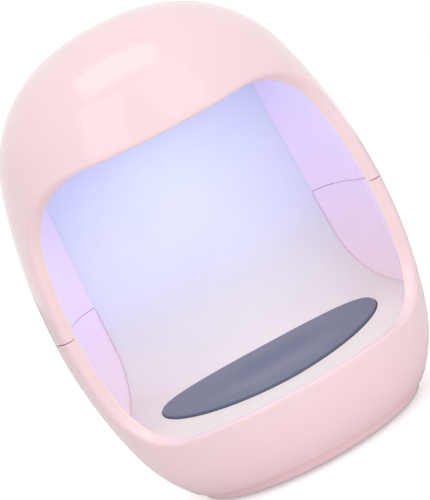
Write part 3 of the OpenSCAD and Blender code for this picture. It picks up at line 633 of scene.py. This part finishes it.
def pad_outline(t, grow):
    """Outline of the pad: in front half an oval a little slimmer than an
    ellipse, and behind a squarer half. Cosine and sine are raised to two over
    the power, where a power of two would be the plain ellipse."""
    c, s = np.cos(t), np.sin(t)
    power = 2/np.where(s > 0, REAR_POWER, FRONT_POWER)
    reach = np.where(s > 0, PAD_REAR, PAD_FRONT)
    return ((PAD_W/2 + grow)*np.sign(c)*np.abs(c)**power,
            (reach + grow)*np.sign(s)*np.abs(s)**power - PAD_MID)


# %% The liner's sheet
SHEET_COLS, PATCH_Y, PATCH_RAYS, PATCH_RINGS, PATCH_POWER, HOLE_SAMPLES = 41, -3.0, 108, 9, 1.4, 1440
DIODE_XS, DIODE_Y, WINDOW_R, WINDOW_REACH, WINDOW_SIDES = (-7, 0, 7), -5.0, 3, 3, 48


def floor_patch(columns):
    """Rings from the pad's hole to the floor's border. Rays leave one point in
    the floor and end on the join line behind or on the egg's inside, where
    the reach settles: the egg's radius depends on the height there."""
    half = liner_half_width(np.array([JOIN_Y]), floor_height(np.array([JOIN_Y])))[0]
    rear = np.stack([half*columns, np.full(len(columns), JOIN_Y)], -1)
    corner = math.atan2(JOIN_Y - PATCH_Y, half)
    phi = np.linspace(math.pi - corner, 2*math.pi + corner, PATCH_RAYS + 2)[1:-1]
    reach = np.full(len(phi), 20.0)
    for _ in range(12):
        y = PATCH_Y + reach*np.sin(phi)
        limit = egg_radius(floor_height(y), WALL) - LINER_GAP
        across = PATCH_Y*np.sin(phi)
        reach = -across + np.sqrt(across**2 + limit**2 - PATCH_Y**2)
    front = np.stack([reach*np.cos(phi), PATCH_Y + reach*np.sin(phi)], -1)
    border = np.concatenate([rear[::-1], front])
    angle = np.arctan2(border[:, 1] - PATCH_Y, border[:, 0])
    t = np.linspace(0, 2*math.pi, HOLE_SAMPLES + 1)[:-1]
    hx, hy = pad_outline(t, PAD_GAP)
    around = np.arctan2(hy - PATCH_Y, hx)
    order = np.argsort(around)
    size = np.interp(angle, around[order], np.hypot(hx, hy - PATCH_Y)[order], period=2*math.pi)
    hole = np.stack([size*np.cos(angle), PATCH_Y + size*np.sin(angle)], -1)
    share = (np.linspace(0, 1, PATCH_RINGS)**PATCH_POWER)[:, None, None]
    flat = hole + (border - hole)*share
    return np.concatenate([flat, floor_height(flat[..., 1])[..., None]], -1)


def freeze(piece):
    """Keeps what the piece's modifiers made as its mesh, and marks its crisp edges again."""
    graph = bpy.context.evaluated_depsgraph_get()
    mesh = bpy.data.meshes.new_from_object(piece.evaluated_get(graph))
    piece.modifiers.clear()
    piece.data = mesh
    bm = bmesh.new()
    bm.from_mesh(mesh)
    mark_crisp(bm)
    bm.to_mesh(mesh)
    bm.free()


def build_liner():
    """Wall and floor as one sheet, thickened, with the diodes' windows cut."""
    columns = np.linspace(-1, 1, SHEET_COLS)
    y, z = wall_path().T
    half = liner_half_width(y, z)
    half[-1] = 0
    wall = np.stack(np.broadcast_arrays(half[:, None]*columns, y[:, None], z[:, None]), -1)
    sheet = [(wall, False), (floor_patch(columns), True)]
    piece = make_piece("liner_sheet", sheet, solid=False)
    mesh = piece.data
    if mesh.polygons[0].normal.y > 0:
        mesh.flip_normals()
    solid = piece.modifiers.new("thickness", "SOLIDIFY")
    solid.thickness, solid.offset, solid.use_even_offset = LINER_T*MM, -1, True
    low, high = CEILING_Z - WINDOW_REACH, CEILING_Z + WINDOW_REACH
    disc = lathe([(0, low), (WINDOW_R, low), (WINDOW_R, high), (0, high)], WINDOW_SIDES)
    discs = [(disc + np.array([x, DIODE_Y, 0]), True) for x in DIODE_XS]
    cutter = make_piece("window_cutter", discs)
    windows = piece.modifiers.new("windows", "BOOLEAN")
    windows.object, windows.operation, windows.solver = cutter, "DIFFERENCE", "EXACT"
    freeze(piece)
    bpy.data.objects.remove(cutter)
    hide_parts("reflector")
    return piece


liner = build_liner()

# %% [markdown]
# ## The press pad
# The grey pad lies just proud of the sloping floor and has a shallow hollow for
# the fingertip. It could be an extruded outline with a Bevel. Here the outline
# is carried through a closed profile, so that the hollow is real geometry: the
# top, a rounded edge, the skirt, the flange that keeps it under the floor, and
# the underside. Two guide stems and the nub for the switch stand under it.

# %% Pad, stems and nub
PAD_PROUD, PAD_CAP, PAD_EDGE, PAD_FLANGE, PAD_FLANGE_T, SKIRT_T = 0.3, 1.2, 0.22, 0.9, 0.8, 1.2
DISH_Y, DISH_W, DISH_L, DISH_T = -4.6, 23.0, 13.0, 0.36
STEM_D, STEM_LOW, STEM_CHAMFER, STEM_ROOT = 2.4, 4.4, 0.2, 0.6
NUB_D, NUB_REACH, NUB_LEAD = 3.0, 0.1, 1.7
PAD_COLS, PAD_RINGS, PAD_ROUND, FLANGE_GAP = 192, 44, 7, 0.05


def dish(x, y):
    """Depth of the hollow: full in the middle, and level again with a soft
    lip at its oval edge, as one minus the smoothed distance from the middle."""
    d = np.clip(np.hypot(x/(DISH_W/2), (y - DISH_Y)/(DISH_L/2)), 0, 1)
    return DISH_T*(1 - d*d*(3 - 2*d))


def build_pad():
    """Rings from the middle of the hollow out over the edge and back under,
    each at a height over the sloping floor, and the stems and nub."""
    t = np.linspace(0, 2*math.pi, PAD_COLS + 1)[:-1]
    rows = []
    rim_x, rim_y = pad_outline(t, -PAD_EDGE)
    for share in np.linspace(0, 1, PAD_RINGS):
        x, y = rim_x*share, DISH_Y + (rim_y - DISH_Y)*share
        rows.append((x, y, floor_plane(y) + PAD_PROUD - dish(x, y)))
    for a in np.linspace(math.pi/2, 0, PAD_ROUND)[1:]:
        x, y = pad_outline(t, -PAD_EDGE*(1 - math.cos(a)))
        rows.append((x, y, floor_plane(y) + PAD_PROUD - PAD_EDGE*(1 - math.sin(a))))
    flange_top = -LINER_T/math.cos(FLOOR_TURN) - FLANGE_GAP
    flange_low, under, flange = flange_top - PAD_FLANGE_T, PAD_PROUD - PAD_CAP, PAD_GAP + PAD_FLANGE
    for grow, level in ((0, flange_top), (flange, flange_top), (flange, flange_low),
                        (-SKIRT_T, flange_low), (-SKIRT_T, under)):
        x, y = pad_outline(t, grow)
        rows.append((x, y, floor_plane(y) + level))
    x, y = pad_outline(t, -SKIRT_T)
    for share in (0.6, 0.2, 0.0):
        y_in = DISH_Y + (y - DISH_Y)*share
        rows.append((x*share, y_in, floor_plane(y_in) + under))
    cap = np.stack([np.stack(row, -1) for row in rows])
    grids = [(cap, True)]
    top = floor_plane(SWITCH_Y - NUB_LEAD) + under
    root = top + STEM_ROOT
    for x, d, low in ((-STEM_X, STEM_D, STEM_LOW), (STEM_X, STEM_D, STEM_LOW),
                      (0.0, NUB_D, top - NUB_REACH)):
        profile = [(0, low), (d/2 - STEM_CHAMFER, low), (d/2, low + STEM_CHAMFER),
                   (d/2, root), (0, root)]
        grids.append((lathe(profile, POST_SIDES) + np.array([x, SWITCH_Y, 0]), True))
    piece = make_piece("press_pad_cap", grids, body="pad")
    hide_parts("press_pad")
    return piece


pad = build_pad()

# %% [markdown]
# ## The plinth and its grip pad
# The lamp stands on a round plinth with a rubber disc under it. Both could be
# bevelled cylinders, but a turned profile also holds the groove in the rubber
# and the plinth's rounded edge: radius and height, swung about the axis.

# %% Plinth and grip pad
PROFILE_STEPS, PLINTH_SIDES, GRIP_SIDES = 6, 160, 128
PLINTH_R, PLINTH_LOW, SEAT_R = 16.75, 0.4, 12.55
GRIP_R, GRIP_H, GROOVE_IN, GROOVE_OUT, GROOVE_T = 12.5, 0.9, 9.5, 10.5, 0.3


def rounded(points, radii):
    """The polyline through points with each corner turned by a quadratic
    curve that starts and ends at the given distance from the corner."""
    path = []
    for k, (p, d) in enumerate(zip(points, radii)):
        p = np.array(p, float)
        if d == 0:
            path.append(p)
            continue
        before, after = np.array(points[k - 1], float), np.array(points[k + 1], float)
        a = p + d*(before - p)/np.linalg.norm(before - p)
        b = p + d*(after - p)/np.linalg.norm(after - p)
        path += list(corner_curve(a, p, b, PROFILE_STEPS))
    return path


plinth_view = rounded([(0, GRIP_H), (SEAT_R, GRIP_H), (SEAT_R, PLINTH_LOW), (PLINTH_R, PLINTH_LOW),
                       (PLINTH_R, FOOT_UNDER), (0, FOOT_UNDER)],
                      [0, 0, 0.1, 0.6, 0.25, 0])
plinth = make_piece("plinth_ring", [(lathe(plinth_view, PLINTH_SIDES), True)])
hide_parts("base_plate")
grip_view = rounded([(0, 0), (GROOVE_IN, 0), (GROOVE_IN, GROOVE_T), (GROOVE_OUT, GROOVE_T),
                     (GROOVE_OUT, 0), (GRIP_R, 0), (GRIP_R, GRIP_H), (0, GRIP_H)],
                    [0, 0.08, 0.1, 0.1, 0.08, 0.2, 0, 0])
grip = make_piece("grip_disc", [(lathe(grip_view, GRIP_SIDES), True)])
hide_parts("grip_pad")

# %% [markdown]
# ## Finishes
# Each material starts from what the real one is. A flat colour would look like
# a drawing, so each has noise in its colour, its roughness and its grain.
# Patterns are given by their size in millimetres.

# %% Colour and node helpers
def linear(hexa):
    """sRGB hex to linear: each channel over 12.92 when dark, else
    ((c + 0.055)/1.055) to the power 2.4."""
    c = np.array([int(hexa[i:i + 2], 16)/255 for i in (1, 3, 5)])
    c = np.where(c <= 0.04045, c/12.92, ((c + 0.055)/1.055)**2.4)
    return (*c.tolist(), 1.0)


def add(tree, kind, inputs=None, **settings):
    """Adds a node. An input that is a socket is linked, and any other is a value."""
    node = tree.nodes.new(kind)
    for key, value in settings.items():
        setattr(node, key, value)
    for key, value in (inputs or {}).items():
        if isinstance(value, bpy.types.NodeSocket):
            tree.links.new(value, node.inputs[key])
        else:
            node.inputs[key].default_value = value
    return node


def colour_ramp(tree, factor, stops):
    """A colour ramp with a stop at each given share."""
    node = add(tree, "ShaderNodeValToRGB", {"Fac": factor})
    ramp = node.color_ramp
    for share, _ in stops[2:]:
        ramp.elements.new(share)
    for element, (share, hexa) in zip(ramp.elements, stops):
        element.position, element.color = share, linear(hexa)
    return node.outputs["Color"]


def blend(tree, factor, a, b, how="MIX"):
    """Mixes two colours by a factor. Either may be a socket or a colour."""
    node = add(tree, "ShaderNodeMixRGB", {"Fac": factor, "Color1": a, "Color2": b}, blend_type=how)
    return node.outputs["Color"]


def combine(tree, how, a, b):
    """One value out of two, by the named operation."""
    return add(tree, "ShaderNodeMath", {0: a, 1: b}, operation=how).outputs[0]


def remap(tree, value, span, onto=(0.0, 1.0), **settings):
    """A value mapped from one span onto another."""
    node = add(tree, "ShaderNodeMapRange", {"Value": value, "From Min": span[0], "From Max": span[1],
                                            "To Min": onto[0], "To Max": onto[1]}, **settings)
    return node.outputs[0]


def height_colour(tree, low_mm, high_mm, stops):
    """Colour by height: object Z is mapped so that low_mm gives 0 and high_mm gives 1."""
    where = add(tree, "ShaderNodeTexCoord").outputs["Object"]
    z = add(tree, "ShaderNodeSeparateXYZ", {"Vector": where}).outputs["Z"]
    return colour_ramp(tree, remap(tree, z, (low_mm*MM, high_mm*MM)), stops)


def noise(tree, where, size_mm, detail, share):
    """Noise of a size in millimetres. Each finer octave has a share of the one before."""
    node = add(tree, "ShaderNodeTexNoise", {"Vector": where, "Scale": 1/(size_mm*MM),
                                            "Detail": detail, "Roughness": share})
    return node.outputs["Fac"]


def finish(name, colours, rough, grain_mm, bump_mm, cloud_mm=9.0, squeeze=(1, 1, 1), **fixed):
    """A moulded, plated or coated surface. A cloudy noise a few millimetres
    wide leads from the first colour to the second, its product with a fine
    noise shifts the roughness between its two values, and the fine noise
    raises the grain. Other inputs of the shader are given by name."""
    material = bpy.data.materials.new(name)
    material.use_nodes = True
    tree = material.node_tree
    shader = tree.nodes["Principled BSDF"]
    where = add(tree, "ShaderNodeTexCoord").outputs["Object"]
    stretched = add(tree, "ShaderNodeMapping", {"Vector": where, "Scale": squeeze}).outputs[0]
    cloud = noise(tree, where, cloud_mm, detail=4.0, share=0.55)
    grain = noise(tree, stretched, grain_mm, detail=3.0, share=0.6)
    tint = colour_ramp(tree, cloud, [(0.3, colours[0]), (0.7, colours[1])])
    shift = remap(tree, combine(tree, "MULTIPLY", cloud, grain), (0.12, 0.4), rough)
    bump = add(tree, "ShaderNodeBump", {"Height": grain, "Distance": bump_mm*MM, "Strength": 1.0})
    tree.links.new(tint, shader.inputs["Base Color"])
    tree.links.new(shift, shader.inputs["Roughness"])
    tree.links.new(bump.outputs[0], shader.inputs["Normal"])
    for key, value in fixed.items():
        shader.inputs[key.replace("_", " ")].default_value = value
    return material


def dress(piece, material):
    """Gives a piece or a CAD node its material. A new piece gets a slot for it."""
    if piece.material_slots:
        for place in piece.material_slots:
            place.material = material
    else:
        piece.data.materials.append(material)


# %% [markdown]
# The shells are ABS, moulded in a polished tool. That gives a clear, slightly
# wavy gloss (IOR 1.53) and a colour that is even to a hair. The lamp's own
# light is painted onto the inner skin as a lilac colour and a weak glow, and a
# warm colour painted at the wall's cut edge stands for light that passes
# through it. An image could hold that, but a depth written into the mesh
# is sharper: how far each point lies under the egg's outline.

# %% Pink gloss of the shells
PINK = ("#fbdde1", "#fadbdf")
# Painted diode light: the inner skin's colour by height, pink low down and lilac up under the diodes.
INSIDE_PAINTED_LIGHT = [(0.0, "#f6dde2"), (0.45, "#f0ddf3"), (1.0, "#e8ddfe")]
# Strength of the inner skin's painted glow. The skin is no lamp.
GLOW = 0.10
# The warm colour at the rim's cut edge is painted light for light that passes through the wall. The
# lilac painted light starts deeper in.
PAINTED_EDGE_LIGHT, PAINTED_EDGE_SPAN, LIT_SPAN = "#fbdbd0", (0.85, 1.45), (1.3, 1.6)


def mark_depth(piece):
    """Writes how deep each point lies under the egg's outline, in
    millimetres: of the five arcs, the one whose fan of headings holds the
    point gives its radius less the distance from its centre."""
    co = np.empty(len(piece.data.vertices)*3, np.float32)
    piece.data.vertices.foreach_get("co", co)
    x, y, z = co.reshape(-1, 3).T/MM
    dr = np.hypot(x, y)[:, None] - ARC_CENTRES[:, 0]
    dz = z[:, None] - ARC_CENTRES[:, 1]
    heading = np.arctan2(dz, dr)
    ends = np.append(ARC_STARTS[1:], math.pi/2 + 0.01)
    inside = (heading >= ARC_STARTS - 1e-6) & (heading <= ends + 1e-6)
    depth = np.where(inside, ARC_RADII - np.hypot(dr, dz), np.inf).min(1)
    layer = piece.data.attributes.new("depth_mm", "FLOAT", "POINT")
    layer.data.foreach_set("value", np.clip(depth, 0, 2*WALL).astype(np.float32))


pink_abs, shell_abs = [finish(name, PINK, (0.10, 0.17), 1.6, 0.0012, 14.0, IOR=1.53)
                       for name in ("polished_pink_ABS", "polished_pink_ABS_painted_light_inside")]
tree = shell_abs.node_tree
surface = tree.nodes["Principled BSDF"].inputs
outside = surface["Base Color"].links[0].from_socket
depth = add(tree, "ShaderNodeAttribute", attribute_name="depth_mm").outputs["Fac"]
# Painted light: a warm band at the rim's cut edge, by depth under the outline.
edge_light = remap(tree, depth, PAINTED_EDGE_SPAN, interpolation_type="SMOOTHSTEP")
lit = remap(tree, depth, LIT_SPAN, interpolation_type="SMOOTHSTEP")
edge = blend(tree, edge_light, outside, linear(PAINTED_EDGE_LIGHT))
# Painted light: the diodes' lilac light as a colour by height on the inner skin, and as a weak painted
# glow.
tint = height_colour(tree, 12, 48, INSIDE_PAINTED_LIGHT)
tree.links.new(blend(tree, lit, edge, tint), surface["Base Color"])
tree.links.new(tint, surface["Emission Color"])
tree.links.new(combine(tree, "MULTIPLY", lit, GLOW), surface["Emission Strength"])
for piece in (upper, lower):
    mark_depth(piece)
    dress(piece, shell_abs)
dress(plinth, pink_abs)

# %% [markdown]
# The liner is white ABS from a finely etched tool, so its shine is broad. The
# diodes' light is painted into its colour by height, from a warm white at the
# floor to the blue of the diodes, with a weak painted glow of the same colour.
# The pad is a soft-touch grey moulding, with a fine even grain.

# %% Liner and pad
# Painted diode light: the liner's colour by height, warm white at the floor to blue under the ceiling.
LINER_PAINTED_LIGHT = [(0.0, "#ebe2d6"), (0.22, "#e8e5e4"), (0.5, "#e2e7fb"), (1.0, "#dfe8ff")]
# Strength of the liner's painted glow. The liner is no lamp.
LINER_GLOW = 0.05
white_abs = finish("etched_white_ABS", ("#ffffff", "#fbfbfd"), (0.42, 0.52), 0.5, 0.004, IOR=1.5)
tree = white_abs.node_tree
surface = tree.nodes["Principled BSDF"].inputs
plain = surface["Base Color"].links[0].from_socket
# Painted light: the diodes' light as a colour by height, multiplied into the white, and as a weak
# painted glow.
tint = height_colour(tree, 12, 50, LINER_PAINTED_LIGHT)
tree.links.new(blend(tree, 1.0, plain, tint, "MULTIPLY"), surface["Base Color"])
tree.links.new(tint, surface["Emission Color"])
surface["Emission Strength"].default_value = LINER_GLOW
dress(liner, white_abs)
grey_touch = finish("soft_touch_grey_ABS", ("#5c6578", "#596275"), (0.29, 0.33), 1.2, 0.0006, 6.0,
                    IOR=1.48)
dress(pad, grey_touch)
rubber = finish("moulded_grey_rubber", ("#6f7176", "#67696e"), (0.7, 0.85), 0.4, 0.02, 4.0, IOR=1.52)
dress(grip, rubber)

# %% [markdown]
# Inside are bought parts, from stamped steel and glass-filled nylon to the
# silicone lens over each diode. They could be written out one by one, but one
# table shows them side by side. Metals keep the default IOR.

# %% Bought parts: colours, roughness, grain, relief and clouds, other inputs, wearers
METAL, NYLON, MASK, PVC = {"Metallic": 1.0}, {"IOR": 1.53}, {"IOR": 1.55}, {"IOR": 1.53}
LENS = {"IOR": 1.41, "Transmission_Weight": 0.9, "Emission_Color": linear("#8f86ff"),
        "Emission_Strength": 0.6}
BOUGHT = {
    "stamped_nickel_steel": (
        "#c9cbcf", "#bfc2c7", 0.2, 0.34, 0.25, 0.002, 3.0, {**METAL, "squeeze": (1, 8, 1)},
        "base_screws switch_cover board_screws socket_shell lamp_board_screws"),
    "gold_plated_bronze": (
        "#e6c06a", "#dcb45c", 0.18, 0.3, 0.2, 0.001, 2.0, METAL, "switch_dome socket_contacts"),
    "black_glass_filled_nylon": (
        "#26272a", "#1f2023", 0.45, 0.6, 0.25, 0.006, 3.0, NYLON,
        "switch_housing switch_plunger timer_chip driver_transistor resistors socket_tongue"),
    "ivory_nylon": (
        "#e6dfcc", "#ddd5c0", 0.38, 0.5, 0.3, 0.004, 3.0, NYLON, "lead_connector"),
    "green_solder_mask": ("#1d6b3d", "#185f35", 0.22, 0.36, 0.6, 0.01, 5.0, MASK, "control_board"),
    "white_solder_mask": ("#ecece8", "#e3e3de", 0.24, 0.36, 0.6, 0.008, 5.0, MASK, "lamp_board"),
    "blue_PET_sleeve": (
        "#2f4678", "#293e6c", 0.2, 0.32, 0.5, 0.004, 3.0, {"IOR": 1.57}, "smoothing_capacitor"),
    "red_PVC_sheath": ("#b8282c", "#a92226", 0.3, 0.42, 0.3, 0.006, 4.0, PVC, "lead_red"),
    "black_PVC_sheath": ("#232326", "#1c1c1f", 0.3, 0.42, 0.3, 0.006, 4.0, PVC, "lead_black"),
    "fired_white_ceramic": (
        "#e9e4d6", "#e0dac9", 0.5, 0.65, 0.2, 0.004, 2.0, {"IOR": 1.7}, "diode_packages"),
    "clear_silicone_lens": ("#f4f2ff", "#efecff", 0.06, 0.12, 0.4, 0.001, 2.0, LENS, "diode_lenses"),
}
for name, (light, dark, smooth, coarse, grain, relief, clouds, other, wearers) in BOUGHT.items():
    material = finish(name, (light, dark), (smooth, coarse), grain, relief, clouds, **other)
    for wearer in wearers.split():
        dress(nodes[wearer], material)
print("finishes:", len(bpy.data.materials))

# %% [markdown]
# ## Stage, light and camera
# The photograph is a studio shot on white. The world could do it alone, but its
# light has no direction. So it gives an even base, a soft box overhead and two
# in front give the long highlight and two softer ones on the crown, a low one
# lights the front, and a small one at the ceiling stands for the diodes.

# %% World and floor
WORLD_FILL, FLOOR_GLOW = 0.63, 0.45
world = bpy.data.worlds.new("studio_white")
bpy.context.scene.world = world
world.use_nodes = True
sky = world.node_tree
path = add(sky, "ShaderNodeLightPath")
seen = path.outputs["Is Camera Ray"]
for kind in ("Is Glossy Ray", "Is Transmission Ray"):
    seen = combine(sky, "MAXIMUM", seen, path.outputs[kind])
level = remap(sky, seen, (0.0, 1.0), (WORLD_FILL, 1.0))
sky.links.new(level, sky.nodes["Background"].inputs["Strength"])
sky.nodes["Background"].inputs["Color"].default_value = (1, 1, 1, 1)

floor_mesh = bpy.data.meshes.new("studio_floor")
FLOOR_REACH, FLOOR_DROP = 3.0, 0.02*MM
corners = FLOOR_REACH*np.array([(-1, -1), (1, -1), (1, 1), (-1, 1)])
floor_mesh.from_pydata([(x, y, -FLOOR_DROP) for x, y in corners], [], [(0, 1, 2, 3)])
put("studio_floor", floor_mesh)
paper = bpy.data.materials.new("white_paper")
paper.use_nodes = True
tree = paper.node_tree
sheet = tree.nodes["Principled BSDF"]
sheet.inputs["Base Color"].default_value = linear("#f4f4f4")
sheet.inputs["Roughness"].default_value = 0.8
camera_ray = add(tree, "ShaderNodeLightPath").outputs["Is Camera Ray"]
glow = combine(tree, "MULTIPLY", camera_ray, FLOOR_GLOW)
light = add(tree, "ShaderNodeEmission", {"Color": (1, 1, 1, 1), "Strength": glow})
total = add(tree, "ShaderNodeAddShader", {0: sheet.outputs[0], 1: light.outputs[0]})
tree.links.new(total.outputs[0], tree.nodes["Material Output"].inputs["Surface"])
floor_mesh.materials.append(paper)
print("world fill", WORLD_FILL, "floor glow for the camera", FLOOR_GLOW)


# %% Soft boxes
def soft_box(name, centre, target, width, height, radiance, colour=(1, 1, 1)):
    """A rectangular lamp that faces its target. Its power is its radiance
    times pi times its area."""
    lamp = bpy.data.lights.new(name, "AREA")
    lamp.shape, lamp.size, lamp.size_y = "RECTANGLE", width, height
    lamp.energy = radiance*math.pi*width*height
    lamp.color = colour
    box = put(name, lamp)
    away = Vector(centre) - Vector(target)
    turned = away.to_track_quat("Z", "Y").to_matrix().to_4x4()
    box.matrix_world = Matrix.Translation(Vector(centre)) @ turned
    print(name, "power in watts", round(lamp.energy, 3))
    return box


CROWN, FOOT, FLOOR_UNDER_DIODES = (0, 0, 0.055), (0, 0, 0.02), (0, -0.005, 0)
soft_box("box_overhead", (-0.01, -0.09, 0.50), CROWN, 0.36, 0.20, 1.5)
soft_box("box_front_left", (-0.30, -0.42, 0.50), CROWN, 0.34, 0.36, 1.05)
soft_box("box_front_right", (0.24, -0.44, 0.50), CROWN, 0.36, 0.34, 0.8)
front = soft_box("box_front", (0.20, -0.72, 0.03), FOOT, 0.60, 0.50, 1.75)
front.visible_glossy = False
diodes = soft_box("diode_light", (0, -0.005, 0.0498), FLOOR_UNDER_DIODES, 0.018, 0.006, 10.5,
                  linear("#f8fbff")[:3])
diodes.visible_camera = False
diodes.visible_glossy = False

# %% [markdown]
# ## The camera
# It stands where the photographer's did: a little to the left of the front and
# just over the middle, rolled so that the lamp leans in the picture. Its axes
# are worked out as vectors, because a target constraint couldn't roll it, and
# a small shift puts the lamp's middle on its place in the frame.

# %% Camera
FOCAL_PX, FRAME_W, FRAME_H = 1250.3, 430, 500
TARGET = Vector((0, 0, 0.03125))
DISTANCE = 0.1719
AZIMUTH, ELEVATION, ROLL = math.radians(4.37), math.radians(2.98), math.radians(27.87)
TARGET_PX = (207.5, 240.4)
away = Vector((-math.sin(AZIMUTH)*math.cos(ELEVATION), -math.cos(AZIMUTH)*math.cos(ELEVATION),
               math.sin(ELEVATION)))
right = Vector((0, 0, 1)).cross(away).normalized()
up = away.cross(right)
camera_x = math.cos(ROLL)*right - math.sin(ROLL)*up
camera_y = math.sin(ROLL)*right + math.cos(ROLL)*up
camera = put("camera", bpy.data.cameras.new("camera"))
turned = Matrix((camera_x, camera_y, away)).transposed().to_4x4()
camera.matrix_world = Matrix.Translation(TARGET + DISTANCE*away) @ turned
SENSOR = 36.0
camera.data.sensor_width = SENSOR
camera.data.lens = FOCAL_PX/FRAME_H*SENSOR
camera.data.shift_x = (FRAME_W/2 - TARGET_PX[0])/FRAME_H
camera.data.shift_y = -(FRAME_H/2 - TARGET_PX[1])/FRAME_H
camera.data.clip_start = 0.01
bpy.context.scene.camera = camera
bpy.context.scene.view_settings.view_transform = "Standard"
print("focal length in mm:", round(camera.data.lens, 1))
